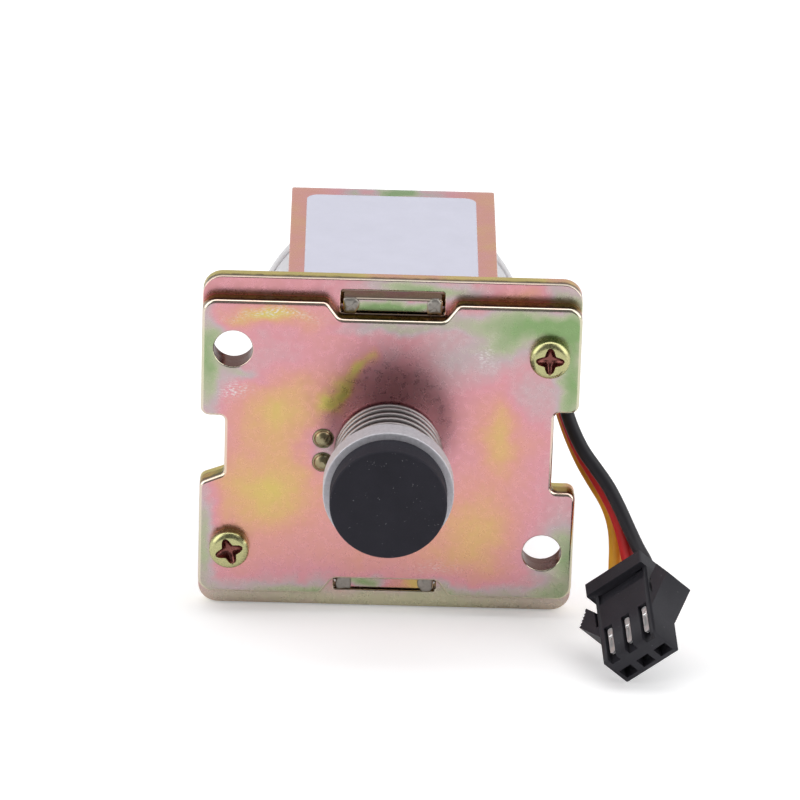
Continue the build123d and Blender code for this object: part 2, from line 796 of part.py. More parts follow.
with BuildPart() as plug_contacts:
    with BuildSketch(plug_top.offset(strip_top)):
        with Locations(*[(x, contact_strip_front + strip_length / 2) for x in contact_rows]):
            RectangleRounded(contact_strip_width, strip_length, contact_strip_corner_radius)
    extrude(amount=-contact_strip_thickness)
    with BuildSketch(plug_top.offset(strip_top)):
        with Locations(*[(x, contact_strip_rear - 2 * contact_strip_thickness) for x in contact_rows]):
            Rectangle(contact_strip_width, 2 * contact_strip_thickness)
    extrude(amount=leg_bottom - strip_top - contact_strip_thickness)
    with BuildSketch(plug_section(barrel_start)):
        with Locations(*[(x, window_centre_z) for x in contact_rows]):
            Rectangle(contact_box_width, contact_box_height)
    extrude(amount=barrel_start - contact_box_front)
    with BuildSketch(plug_section(barrel_end)):
        with Locations(*[(x, lead_line_z) for x in contact_rows]):
            Circle(barrel_radius)
    extrude(amount=barrel_end - barrel_start + barrel_overlap)
    with BuildSketch(plug_top.offset(strip_top)):
        with Locations(*[(x, contact_strip_rear - dimple_setback) for x in contact_rows]):
            Circle(dimple_radius)
    extrude(amount=-dimple_depth, mode=Mode.SUBTRACT)
save(plug_contacts, "plug_contacts")

# Leads: straight runs joined by tangent arcs, from the lead block to the contacts' barrels
lead_section = math.pi * lead_radius**2
for lead_index, lead_name in enumerate(("black", "red", "yellow")):
    lead_x, lead_y = lead_places[lead_index]
    row_x = contact_rows[2 - lead_index]
    straight_end = plug_section(lead_straight_end).from_local_coords(Vector(row_x, lead_line_z, 0))
    far_end = plug_section(barrel_end).from_local_coords(Vector(row_x, lead_line_z, 0))
    route = [Vector(lead_x, lead_y, lead_block_bottom)]
    route += [Vector(*point) for point in lead_points[lead_name]]
    route += [straight_end, far_end]
    runs = [b - a for a, b in zip(route, route[1:])]
    radii = []
    for run, next_run in zip(runs, runs[1:]):
        turn = math.radians(run.get_angle(next_run))
        radii.append(lead_arc_share * min(run.length, next_run.length) / math.tan(turn / 2))
    with BuildPart() as lead:
        with BuildLine() as lead_line:
            FilletPolyline(*route, radius=radii)
        with BuildSketch(Plane(origin=route[0], z_dir=runs[0])):
            Circle(lead_radius)
        sweep(path=lead_line.wires()[0])
    save(lead, f"lead_{lead_name}")
    lead_length = lead_line.wires()[0].length
    print(
        f"lead_{lead_name}: {lead_length:.1f} mm long, radii {min(radii):.1f} to {max(radii):.1f} mm,"
        f" volume {lead.part.volume:.1f} of {lead_section * lead_length:.1f} mm3"
    )
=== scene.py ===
import math

import bmesh
import bpy
import numpy as np
from mathutils import Matrix, Vector, geometry


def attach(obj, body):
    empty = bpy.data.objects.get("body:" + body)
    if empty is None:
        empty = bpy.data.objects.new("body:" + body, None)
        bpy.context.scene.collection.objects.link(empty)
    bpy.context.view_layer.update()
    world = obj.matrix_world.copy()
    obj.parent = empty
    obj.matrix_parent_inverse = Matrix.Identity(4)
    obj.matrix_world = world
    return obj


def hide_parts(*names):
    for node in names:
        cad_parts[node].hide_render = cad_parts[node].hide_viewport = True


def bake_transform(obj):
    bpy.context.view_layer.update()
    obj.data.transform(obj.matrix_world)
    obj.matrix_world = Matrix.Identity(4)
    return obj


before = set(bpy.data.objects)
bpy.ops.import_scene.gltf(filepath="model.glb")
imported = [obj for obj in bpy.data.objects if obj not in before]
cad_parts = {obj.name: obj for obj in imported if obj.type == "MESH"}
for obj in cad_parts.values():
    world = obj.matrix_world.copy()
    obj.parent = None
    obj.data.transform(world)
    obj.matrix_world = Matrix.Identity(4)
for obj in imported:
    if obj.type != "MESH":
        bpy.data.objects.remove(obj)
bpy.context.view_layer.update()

mm = 0.001
fixedBody = "valve_body"
movingBody = "valve"
white = (1.0, 1.0, 1.0, 1.0)


# Colour as seen on screen, 0 to 255, turned into the linear values that shaders use
def seen(red, green, blue):
    screen = np.array([red, green, blue]) / 255.0
    linear = np.where(screen <= 0.04045, screen / 12.92, ((screen + 0.055) / 1.055) ** 2.4)
    return (*linear.tolist(), 1.0)


# Camera: distances in millimetres, angles in degrees, picture 800 pixels wide, what it sees in metres
view = {
    "lift": 23.253,
    "yaw": -0.733,
    "roll": 1.809,
    "distance": 683.64,
    "focalPixels": 5882.6,
    "pictureWidth": 800,
    "sensor": 36.0,
    "aim": (1.1495, 0.0, 6.629),
    "nearest": 0.05,
    "farthest": 20.0,
}


# The camera looks at the aim point from the front, lifted and rolled by small angles
def placeCamera():
    lift, yaw, roll = (math.radians(view[key]) for key in ("lift", "yaw", "roll"))
    back = Vector((math.sin(yaw) * math.cos(lift), -math.cos(yaw) * math.cos(lift), math.sin(lift)))
    level = Vector((math.cos(yaw), math.sin(yaw), 0.0))
    upright = back.cross(level)
    right = level * math.cos(roll) + upright * math.sin(roll)
    up = upright * math.cos(roll) - level * math.sin(roll)
    place = (Vector(view["aim"]) + back * view["distance"]) * mm
    turn = Matrix((right, up, back)).transposed().to_4x4()
    cameraData = bpy.data.cameras.new("camera")
    cameraData.sensor_width = view["sensor"]
    cameraData.lens = view["focalPixels"] * view["sensor"] / view["pictureWidth"]
    cameraData.clip_start = view["nearest"]
    cameraData.clip_end = view["farthest"]
    camera = bpy.data.objects.new("camera", cameraData)
    camera.matrix_world = Matrix.Translation(place) @ turn
    bpy.context.scene.collection.objects.link(camera)
    bpy.context.scene.camera = camera


placeCamera()
print("camera placed")


# Adds a node and sets its inputs or links them; the next few give back the output of the node that they add
def addNode(tree, kind, inputs=None, **settings):
    node = tree.nodes.new(kind)
    for key, value in settings.items():
        setattr(node, key, value)
    for key, value in (inputs or {}).items():
        if isinstance(value, bpy.types.NodeSocket):
            tree.links.new(value, node.inputs[key])
        else:
            node.inputs[key].default_value = value
    return node


# Place on the piece in millimetres, turned and stretched as the pattern needs
def placeInMm(tree, stretch=(1.0, 1.0, 1.0), turn=(0.0, 0.0, 0.0), shift=(0.0, 0.0, 0.0)):
    coords = addNode(tree, "ShaderNodeTexCoord").outputs["Object"]
    scale = [1000.0 * share for share in stretch]
    inputs = {"Vector": coords, "Scale": scale, "Rotation": turn, "Location": shift}
    return addNode(tree, "ShaderNodeMapping", inputs).outputs["Vector"]


def separated(tree, place):
    return addNode(tree, "ShaderNodeSeparateXYZ", {"Vector": place}).outputs


# Scale counts to the millimetre where the place is in millimetres
def noise(tree, place, scale, detail=2.0, roughness=0.5, distortion=0.0, output="Fac"):
    inputs = {"Vector": place, "Scale": scale, "Detail": detail}
    inputs |= {"Roughness": roughness, "Distortion": distortion}
    return addNode(tree, "ShaderNodeTexNoise", inputs).outputs[output]


def maths(tree, operation, a, b=0.0, clamp=False):
    return addNode(tree, "ShaderNodeMath", {0: a, 1: b}, operation=operation, use_clamp=clamp).outputs[0]


def plus(tree, a, b):
    return maths(tree, "ADD", a, b)


def minus(tree, a, b):
    return maths(tree, "SUBTRACT", a, b)


def times(tree, a, b):
    return maths(tree, "MULTIPLY", a, b)


# A value moved from one span to another, held at the ends
def remap(tree, value, low, high, newLow=0.0, newHigh=1.0, smooth=False):
    kind = "SMOOTHSTEP" if smooth else "LINEAR"
    inputs = {"Value": value, "From Min": low, "From Max": high, "To Min": newLow, "To Max": newHigh}
    return addNode(tree, "ShaderNodeMapRange", inputs, interpolation_type=kind).outputs["Result"]


def ramp(tree, value, stops):
    node = addNode(tree, "ShaderNodeValToRGB", {"Fac": value})
    elements = node.color_ramp.elements
    while len(elements) < len(stops):
        elements.new(0.5)
    for element, (position, colour) in zip(elements, stops):
        element.position = position
        element.color = colour
    return node.outputs["Color"]


def mixed(tree, factor, a, b, blend="MIX"):
    inputs = {0: factor, 6: a, 7: b}
    return addNode(tree, "ShaderNodeMix", inputs, data_type="RGBA", blend_type=blend).outputs[2]


def multiplied(tree, colour, shade):
    return mixed(tree, 1.0, colour, shade, "MULTIPLY")


def greyOf(tree, value):
    return addNode(tree, "ShaderNodeCombineColor", {0: value, 1: value, 2: value}).outputs[0]


# Where a piece's own mark is set, its own tint takes the colour's place; on hole walls, screw recesses and
# the disc's back that tint is a painted shade
def tinted(tree, colour):
    mark = addNode(tree, "ShaderNodeAttribute", attribute_name="mark").outputs["Fac"]
    tint = addNode(tree, "ShaderNodeAttribute", attribute_name="tint").outputs["Color"]
    return mixed(tree, mark, colour, tint)


# The distance is in metres
def bump(tree, height, distance, strength):
    inputs = {"Height": height, "Distance": distance, "Strength": strength}
    return addNode(tree, "ShaderNodeBump", inputs).outputs["Normal"]


# Fixed values go straight onto the shader's own sockets; feed links the ones that change over the surface
def startMaterial(name, **fixed):
    material = bpy.data.materials.new(name)
    material.use_nodes = True
    tree = material.node_tree
    surface = tree.nodes["Principled BSDF"]
    for key, value in fixed.items():
        surface.inputs[key.replace("_", " ")].default_value = value
    return material, tree, surface


def feed(tree, surface, **sockets):
    for key, value in sockets.items():
        tree.links.new(value, surface.inputs[key.replace("_", " ")])


# Nearly all of a noise's values lie in this span
noiseSpan = (0.3, 0.7)

# Zinc plate passivated in colours: with its thickness the film runs from green over lilac and pink to yellow
# Scales count to the millimetre, reaches and places are in millimetres
platedFilm = {
    "colours": [
        (0.00, seen(146, 176, 122)),
        (0.13, seen(186, 192, 160)),
        (0.25, seen(206, 185, 187)),
        (0.40, seen(230, 164, 172)),
        (0.54, seen(232, 168, 154)),
        (0.66, seen(231, 183, 136)),
        (0.80, seen(226, 204, 118)),
        (1.00, seen(184, 182, 98)),
    ],
    # wide clouds and a fine mottle in the film's thickness
    "cloud": {"scale": 0.12, "detail": 2.0, "roughness": 0.5, "distortion": 0.8},
    "mottle": {"scale": 1.1, "detail": 3.0, "roughness": 0.6},
    "mottleShare": 0.10,
    # the outlines of spots are pushed about by up to this reach
    "push": {"scale": 0.22, "detail": 3.0},
    "pushReach": 2.5,
    # on the cut edges, from here behind the face on, the film is thicker, and a painted shade and dark
    # reflection, ragged at its border, lies next to the rolled edge
    "cutBegin": (0.25, 0.40),
    "cutFilm": 0.46,
    "paintedEdgeShade": (0.12, 0.07, 0.06, 1.0),
    "paintedEdgeShadeReach": (0.55, 1.15),
    "paintedEdgeShadeRagged": 0.8,
    # the rolled edge is burnished by the tool, so it is smoother than the face; its pale cream is partly film
    # rubbed thin and partly a painted highlight
    "rollBegin": (0.006, 0.03),
    "rollEnd": (0.36, 0.46),
    "rollWearAndHighlight": seen(244, 234, 208),
    "rollWearAndHighlightShare": 0.65,
    "burnish": 0.15,
    # scratches in the rubbed places
    "scratch": {"scale": 2.2, "detail": 3.0, "roughness": 0.7},
    "scratchPlace": {"stretch": (1.0, 1.0, 2.6), "turn": (0.0, 0.5, 0.0)},
    "scratchSpan": (0.50, 0.60),
    "scratchShade": seen(238, 232, 230),
    "roughness": (0.23, 0.35),
    "grain": {"scale": 11.0, "detail": 1.0, "roughness": 0.5},
    "grainDepth": 0.000002,
    "grainStrength": 0.25,
}

# The plated pieces: the face's depth along Y, where the cut edge ends behind it, and that edge's tone, partly
# painted shade;
# a shift of the clouds; the film's middle thickness and sway; and spots where the film is thinner or thicker,
# rubbed places, and spots of painted shade and painted light: place across and up, reach across and up, how
# much
platedPieces = {
    "frontPlate": {
        "face": 0.0, "cutEnd": (1.9, 1.98), "cutToneAndPaintedShade": (0.62, 0.52, 0.36, 1.0),
        "shift": (0.0, 0.0, 0.0), "middle": 0.40, "sway": 0.20,
        "spots": [
            (-14.4, 16.7, 5.2, 1.5, 0.42),
            (-7.0, 6.3, 1.5, 1.4, 0.36),
            (-5.4, 8.1, 1.2, 1.3, 0.44),
            (-3.9, 10.0, 1.1, 1.3, 0.40),
            (-2.6, 11.6, 1.0, 1.1, 0.28),
            (-12.5, 4.6, 5.2, 5.8, 0.32),
            (-14.5, -6.0, 7.6, 5.0, 0.36),
            (0.0, -13.5, 14.0, 3.0, 0.10),
            (13.0, 2.2, 2.8, 5.4, 0.26),
            (10.0, -10.0, 5.6, 5.4, 0.26),
            (9.0, 16.9, 9.0, 1.6, -0.20),
            (0.0, 15.5, 7.0, 0.8, -0.18),
            (19.0, 16.0, 4.5, 2.4, -0.34),
            (21.4, 9.0, 1.8, 8.0, -0.36),
            (13.2, 14.6, 3.6, 2.2, -0.20),
            (20.4, -13.5, 3.0, 5.5, -0.32),
            (-21.6, 11.0, 1.7, 7.5, -0.36),
            (-21.8, -10.0, 1.5, 8.5, -0.34),
            (0.0, -18.4, 22.0, 1.3, -0.34),
            (-17.5, 9.4, 2.6, 1.2, -0.24),
            (-13.5, 11.4, 4.6, 2.6, -0.12),
            (8.6, 12.2, 4.6, 2.8, -0.14),
            (16.0, 7.4, 3.4, 3.0, -0.12),
            (-7.65, 0.0, 1.9, 3.2, -0.26),
        ],
        "rubbed": [
            (-13.5, 17.0, 4.5, 0.8, 1.0),
            (-18.6, 7.2, 1.8, 0.9, 1.0),
            (11.6, 12.6, 0.9, 1.8, 0.8),
            (6.0, -15.0, 3.0, 1.0, 0.4),
        ],
        # painted shade: the valve disc's dark reflection and shadow on the face above it
        "paintedLightSpots": [(1.6, 9.4, 4.8, 4.6, 0.42)],
        "shade": seen(136, 88, 90),
    },
    "rearPlate": {
        "face": 2.0, "cutEnd": (1.9, 1.98), "cutToneAndPaintedShade": (0.95, 0.92, 1.0, 1.0),
        "shift": (11.0, 3.0, 7.0), "middle": 0.40, "sway": 0.20,
        "spots": [
            (4.0, 19.8, 7.0, 1.4, -0.34),
            (20.5, 18.5, 3.0, 3.0, -0.34),
            (14.0, 19.2, 4.0, 1.0, 0.2),
            (0.0, -20.2, 24.0, 1.8, -0.30),
            (21.5, -4.0, 1.6, 12.0, -0.2),
        ],
        # painted light: the bottom strip is lightened where it would mirror the floor in the plate's shadow
        "paintedLightSpots": [(0.0, -20.3, 30.0, 1.7, 0.75)],
        "shade": seen(240, 232, 200),
    },
    "yoke": {
        # painted shade: from its tabs to a little behind the rear plate the yoke is darkened, under the
        # plates and in their slots
        "face": 1.9, "cutEnd": (2.6, 2.68), "cutToneAndPaintedShade": (0.20, 0.11, 0.10, 1.0),
        "shift": (3.0, 17.0, 9.0), "middle": 0.60, "sway": 0.3,
        "spots": [
            (0.0, 17.65, 7.0, 1.5, -0.72),
            (-2.2, -17.65, 2.6, 1.5, -0.6),
            (3.4, -17.65, 2.4, 1.5, 0.2),
        ],
    },
}


# Each spot adds its amount times 2.718 to the power -(u u + v v), where u and v are the distances from its
# middle across and up, counted in its reaches
def spotSum(tree, place, spots):
    total = None
    parts = separated(tree, place)
    for across, upward, reachAcross, reachUp, amount in spots:
        u = maths(tree, "DIVIDE", minus(tree, parts["X"], across), reachAcross)
        v = maths(tree, "DIVIDE", minus(tree, parts["Z"], upward), reachUp)
        square = plus(tree, times(tree, u, u), times(tree, v, v))
        bell = times(tree, maths(tree, "POWER", 2.718, times(tree, square, -1.0)), amount)
        total = bell if total is None else plus(tree, total, bell)
    return total


# The film's thickness is middle + sway (cloud - 1/2) + spots + mottle, and more on the cut edge, and the ramp
# turns it into colour; depths along Y count from the piece's face
def platedMaterial(
    name, face, cutEnd, cutToneAndPaintedShade, shift, middle, sway, spots, rubbed=(), paintedLightSpots=(), shade=None,
):
    film = platedFilm
    material, tree, surface = startMaterial(name, Metallic=1.0)
    place = placeInMm(tree)
    cloudPlace = placeInMm(tree, shift=shift)
    reach = film["pushReach"]
    wobble = noise(tree, cloudPlace, **film["push"], output="Color")
    inputs = {0: wobble, 1: (2 * reach,) * 3, 2: (-reach,) * 3}
    pushed = addNode(tree, "ShaderNodeVectorMath", inputs, operation="MULTIPLY_ADD").outputs["Vector"]
    moved = addNode(tree, "ShaderNodeVectorMath", {0: place, 1: pushed}, operation="ADD").outputs["Vector"]
    cloud = noise(tree, cloudPlace, **film["cloud"])
    thickness = plus(tree, times(tree, cloud, sway), middle - sway / 2)
    thickness = plus(tree, thickness, spotSum(tree, moved, spots))
    mottle = noise(tree, cloudPlace, **film["mottle"])
    uneven = minus(tree, mottle, 0.5)
    thickness = plus(tree, thickness, times(tree, uneven, film["mottleShare"]))

    depth = separated(tree, place)["Y"]

    def past(value, span):
        return remap(tree, value, face + span[0], face + span[1])

    def upTo(value, span):
        return remap(tree, value, face + span[0], face + span[1], 1.0, 0.0)

    # painted shade: the cut edges are darkened, most next to the rolled edge; on the yoke this darkens the
    # part next to the plates
    cut = times(tree, past(depth, film["cutBegin"]), upTo(depth, cutEnd))
    ragged = plus(tree, depth, times(tree, uneven, film["paintedEdgeShadeRagged"]))
    edgeShade = mixed(tree, past(ragged, film["paintedEdgeShadeReach"]), film["paintedEdgeShade"], cutToneAndPaintedShade)
    thickness = plus(tree, thickness, times(tree, cut, film["cutFilm"]))
    colour = ramp(tree, thickness, film["colours"])
    colour = mixed(tree, cut, colour, multiplied(tree, colour, edgeShade))
    # painted light and painted shade over the listed spots
    if paintedLightSpots:
        colour = mixed(tree, spotSum(tree, place, paintedLightSpots), colour, shade)
    # partly a painted highlight: the rolled edges are mixed towards a pale cream
    rolled = times(tree, past(depth, film["rollBegin"]), upTo(depth, film["rollEnd"]))
    colour = mixed(tree, times(tree, rolled, film["rollWearAndHighlightShare"]), colour, film["rollWearAndHighlight"])
    if rubbed:
        scratches = noise(tree, placeInMm(tree, **film["scratchPlace"]), **film["scratch"])
        scratches = remap(tree, scratches, *film["scratchSpan"])
        share = maths(tree, "MULTIPLY", scratches, spotSum(tree, moved, rubbed), clamp=True)
        colour = mixed(tree, share, colour, film["scratchShade"])
    rough = remap(tree, mottle, *noiseSpan, *film["roughness"])
    rough = minus(tree, rough, times(tree, rolled, film["burnish"]))
    grain = noise(tree, cloudPlace, **film["grain"])
    normal = bump(tree, grain, film["grainDepth"], film["grainStrength"])
    feed(tree, surface, Base_Color=tinted(tree, colour), Roughness=rough, Normal=normal)
    return material


# Plain metals: colour and roughness, and what differs in the grain
metals = {
    "screw": {"colour": seen(202, 200, 146), "roughness": 0.26},
    "stake": {"colour": seen(176, 171, 164), "roughness": 0.42},
    "spring": {"colour": seen(160, 154, 154), "roughness": 0.38},
    "disc": {"colour": seen(212, 210, 216), "roughness": 0.50, "grainScale": 3.0, "metallic": 0.45},
    "plunger": {"colour": seen(150, 146, 144), "roughness": 0.36},
    "core": {"colour": seen(186, 182, 176), "roughness": 0.34},
    "tube": {"colour": seen(190, 188, 184), "roughness": 0.32},
    "pin": {"colour": seen(214, 212, 208), "roughness": 0.25},
    "washer": {"colour": seen(206, 178, 106), "roughness": 0.35},
    "contact": {
        "colour": seen(250, 250, 250), "roughness": 0.20, "grainScale": 1.4, "depth": 0.000004,
        "metallic": 0.6,
    },
}
metalGrain = {"detail": 3.0, "roughness": 0.6, "shade": (0.86, 1.06), "gloss": (-0.06, 0.08), "strength": 0.5}


# One noise is the grain: it shades the colour, changes the roughness and raises the bump
def metalMaterial(name, colour, roughness, grainScale=4.0, depth=0.00001, metallic=1.0):
    material, tree, surface = startMaterial(name, Metallic=metallic)
    grain = noise(tree, placeInMm(tree), grainScale, metalGrain["detail"], metalGrain["roughness"])
    shade = remap(tree, grain, *noiseSpan, *metalGrain["shade"])
    tint = multiplied(tree, tinted(tree, colour), greyOf(tree, shade))
    rough = remap(tree, grain, *noiseSpan, *(roughness + change for change in metalGrain["gloss"]))
    normal = bump(tree, grain, depth, metalGrain["strength"])
    feed(tree, surface, Base_Color=tint, Roughness=rough, Normal=normal)
    return material


# Plastic, rubber, tape and insulation; upper is the colour of the highest part of a lead
mouldings = {
    "seal": {"colour": seen(43, 42, 50), "roughness": 0.70, "dust": 0.3, "specular": 0.22},
    "ring": {"colour": seen(30, 30, 32), "roughness": 0.5},
    "bobbin": {"colour": seen(222, 222, 224), "roughness": 0.42, "clouds": 0.02},
    "wrap": {"colour": seen(216, 216, 220), "roughness": 0.38, "clouds": 0.025},
    "film": {"colour": seen(220, 200, 120), "roughness": 0.35},
    "label": {
        "colour": seen(210, 210, 225), "roughness": 0.45, "grainScale": 3.0, "depth": 0.000004,
        "specular": 0.35, "clouds": 0.02,
    },
    "plug": {
        "colour": seen(45, 44, 50), "roughness": 0.50, "dust": 0.15, "grainScale": 5.0, "specular": 0.3,
    },
    "leadBlack": {"colour": seen(38, 36, 41), "roughness": 0.44, "specular": 0.32},
    "leadRed": {"colour": seen(206, 40, 42), "roughness": 0.50, "specular": 0.3},
    "leadYellow": {
        "colour": seen(236, 170, 50), "roughness": 0.50, "specular": 0.3, "upper": seen(214, 138, 38),
    },
}
mouldedGrain = {"detail": 3.0, "roughness": 0.6, "gloss": 0.06, "strength": 0.6, "cloudScale": 0.35}
dustSpecks = {"scale": 3.2, "detail": 1.0, "span": (0.74, 0.80), "shade": seen(150, 150, 155)}
upperSpan = (-12.0, 8.0)  # heights in mm between which a lead's colour changes


# A fine moulded grain in roughness and bump, a little dust, and slow changes of shade
def mouldedMaterial(
    name, colour, roughness, dust=0.0, grainScale=6.0, depth=0.00001, specular=0.5, clouds=0.09, upper=None,
):
    material, tree, surface = startMaterial(name, Metallic=0.0, Specular_IOR_Level=specular)
    place = placeInMm(tree)
    if upper is not None:
        height = remap(tree, separated(tree, place)["Z"], *upperSpan, smooth=True)
        colour = mixed(tree, height, colour, upper)
    slow = noise(tree, place, mouldedGrain["cloudScale"])
    slow = remap(tree, slow, *noiseSpan, 1.0 - clouds, 1.0 + clouds)
    tint = multiplied(tree, colour, greyOf(tree, slow))
    if dust > 0.0:
        specks = noise(tree, place, dustSpecks["scale"], dustSpecks["detail"])
        specks = remap(tree, specks, *dustSpecks["span"])
        tint = mixed(tree, times(tree, specks, dust), tint, dustSpecks["shade"])
    grain = noise(tree, place, grainScale, mouldedGrain["detail"], mouldedGrain["roughness"])
    gloss = mouldedGrain["gloss"]
    rough = remap(tree, grain, *noiseSpan, roughness - gloss, roughness + gloss)
    normal = bump(tree, grain, depth, mouldedGrain["strength"])
    feed(tree, surface, Base_Color=tint, Roughness=rough, Normal=normal)
    return material


# Copper wire in layers, with the wire's thickness in mm; the texture's bands are 0.314 wide at scale 1
windings = {
    "pullInWire": {"colour": seen(206, 124, 74), "wire": 0.25},
    "holdingWire": {"colour": seen(198, 116, 66), "wire": 0.12},
}
wireBands = {"width": 0.314, "distortion": 0.4, "darkShare": 0.45, "depth": 0.00004, "strength": 0.6}


# Fine ridges across the winding's length, dark between the wires
def windingMaterial(name, colour, wire):
    material, tree, surface = startMaterial(name, Metallic=1.0, Roughness=0.35)
    scale = wireBands["width"] / wire
    inputs = {"Vector": placeInMm(tree), "Scale": scale, "Distortion": wireBands["distortion"]}
    settings = {"wave_type": "BANDS", "bands_direction": "Y"}
    wave = addNode(tree, "ShaderNodeTexWave", inputs, **settings).outputs["Fac"]
    dark = (*(wireBands["darkShare"] * part for part in colour[:3]), 1.0)
    tint = ramp(tree, wave, [(0.0, dark), (1.0, colour)])
    feed(tree, surface, Base_Color=tint, Normal=bump(tree, wave, wireBands["depth"], wireBands["strength"]))
    return material


finishes = {}
for makeFinish, pieces in (
    (platedMaterial, platedPieces), (metalMaterial, metals), (mouldedMaterial, mouldings),
    (windingMaterial, windings),
):
    for name, facts in pieces.items():
        finishes[name] = makeFinish(f"{name}Finish", **facts)
print("materials made:", len(finishes))

# Faces that meet at more than this angle, in degrees, are shaded as a sharp edge
sharpAngle = {"cad": 25, "made": 38}

# The plug's place: its nose's middle in mm, the row of contacts, and the way out of its open face
# The skin over its slots is thinner than this, in mm
plugPlace = {
    "origin": np.array([28.081, -18.785, -15.416]),
    "row": np.array([0.7386, -0.1799, 0.6497]),
    "open": np.array([-0.6693, -0.3107, 0.6749]),
    "skin": 0.01,
}
plugPlace["length"] = np.cross(plugPlace["open"], plugPlace["row"])


# Height of a vertex above the plug's open face, in metres
def aboveOpenFace(vertex):
    return (vertex.co - Vector(plugPlace["origin"] * mm)).dot(Vector(plugPlace["open"]))


# Part of the slots lies under a skin of almost no thickness: the open face is taken off and filled anew
def clearOpenFace(work):
    reach = plugPlace["skin"] * mm
    near = [vertex for vertex in work.verts if abs(aboveOpenFace(vertex)) < reach]
    for vertex in near:
        vertex.co -= Vector(plugPlace["open"]) * aboveOpenFace(vertex)
    bmesh.ops.remove_doubles(work, verts=near, dist=reach / 3)
    bmesh.ops.dissolve_degenerate(work, edges=work.edges, dist=reach / 100)
    level = {vertex for vertex in work.verts if abs(aboveOpenFace(vertex)) < reach / 10}
    lid = [face for face in work.faces if level.issuperset(face.verts)]
    bmesh.ops.delete(work, geom=lid, context="FACES")
    rim = [edge for edge in work.edges if edge.is_boundary]
    bmesh.ops.triangle_fill(work, edges=rim, use_beauty=True)


# A CAD node's own mesh, copied and merged, with its faces shaded flat up to each sharp edge
def nodeCopy(name, node, finish, openFace=False):
    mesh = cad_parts[node].data.copy()
    mesh.name = name
    work = bmesh.new()
    work.from_mesh(mesh)
    bmesh.ops.remove_doubles(work, verts=work.verts, dist=1e-6)
    if openFace:
        clearOpenFace(work)
    bmesh.ops.recalc_face_normals(work, faces=work.faces)
    loose = sum(1 for edge in work.edges if not edge.is_manifold)
    volume = round(work.calc_volume() / mm**3, 2)
    print(name, "faces:", len(work.faces), "open edges:", loose, "volume in mm3:", volume)
    work.to_mesh(mesh)
    work.free()
    mesh.materials.clear()
    mesh.materials.append(finishes[finish])
    mesh.polygons.foreach_set("use_smooth", np.full(len(mesh.polygons), True))
    mesh.set_sharp_from_angle(angle=math.radians(sharpAngle["cad"]))
    piece = bpy.data.objects.new(name, mesh)
    bpy.context.scene.collection.objects.link(piece)
    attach(piece, fixedBody)
    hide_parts(node)
    return piece


plugPieces = [
    nodeCopy("plug_shell", "plug_housing", "plug", openFace=True),
    nodeCopy("plug_pins", "plug_contacts", "contact"),
]
print("plug made")


# A place on the plug = its origin + across the row + along its length + out of its open face
def onPlug(across, along, out):
    return (
        plugPlace["origin"]
        + np.multiply.outer(across, plugPlace["row"])
        + np.multiply.outer(along, plugPlace["length"])
        + np.multiply.outer(out, plugPlace["open"])
    )


# Leads: each one's contact in the plug's row, its length in metres, and its route's points in mm from the
# lead block to the plug, to which onPlug adds two
leads = {
    "black": {
        "node": "lead_black",
        "finish": "leadBlack",
        "row": 2.54,
        "length": 0.0308,
        "points": [
            (19.9, 6.0, 10.2), (19.9, 6.0, 7.7), (20.3, 5.6, 4.9), (21.3, 4.6, 2.1), (22.7, 3.4, -0.5),
            (24.3, 2.3, -2.3), (25.9, 1.1, -4.1), (27.2, -0.4, -6.1), (28.3, -2.0, -8.0), (29.4, -3.9, -9.7),
        ],
    },
    "red": {
        "node": "lead_red",
        "finish": "leadRed",
        "row": 0.0,
        "length": 0.0324,
        "points": [
            (19.5, 7.7, 10.2), (19.5, 7.7, 7.4), (20.1, 7.2, 4.3), (21.2, 6.2, 1.2), (22.7, 4.9, -1.7),
            (24.3, 3.5, -3.7), (25.8, 2.1, -5.7), (27.0, 0.6, -7.6), (27.8, -1.2, -9.5), (28.3, -3.3, -11.2),
        ],
    },
    "yellow": {
        "node": "lead_yellow",
        "finish": "leadYellow",
        "row": -2.54,
        "length": 0.0343,
        "points": [
            (19.1, 9.4, 10.2), (19.1, 9.4, 7.2), (19.8, 8.9, 3.8), (21.1, 7.6, 0.2), (22.7, 6.1, -3.0),
            (24.3, 4.6, -5.2), (25.9, 3.2, -7.2), (26.8, 1.5, -9.2), (27.0, -0.5, -11.1), (26.9, -2.7, -12.8),
        ],
    },
}
leadFacts = {
    "diameter": 1.6,
    "line": -2.6,  # how far the lead lies under the plug's open face
    "plugEnd": (13.1, 10.4),  # where its last two points lie along the plug
    "stiffness": "limp",
    "carriesPlug": "black",
}


def drawLead(colour, facts):
    route = [np.array(point) for point in facts["points"]]
    route += [onPlug(facts["row"], along, leadFacts["line"]) for along in leadFacts["plugEnd"]]
    curve = bpy.data.curves.new(f"lead_{colour}_line", "CURVE")
    curve.dimensions = "3D"
    spline = curve.splines.new("NURBS")
    spline.points.add(len(route) - 1)
    for point, place in zip(spline.points, route):
        point.co = (*(place * mm), 1.0)
    spline.order_u = 3
    spline.use_endpoint_u = True
    spline.resolution_u = 12
    curve.bevel_depth = leadFacts["diameter"] * mm / 2
    curve.bevel_resolution = 6
    curve.use_fill_caps = True
    lead = bpy.data.objects.new(f"lead_{colour}_wire", curve)
    bpy.context.scene.collection.objects.link(lead)
    curve.materials.append(finishes[facts["finish"]])
    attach(lead, fixedBody)
    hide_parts(facts["node"])


for colour, facts in leads.items():
    drawLead(colour, facts)
print("leads drawn:", len(leads))


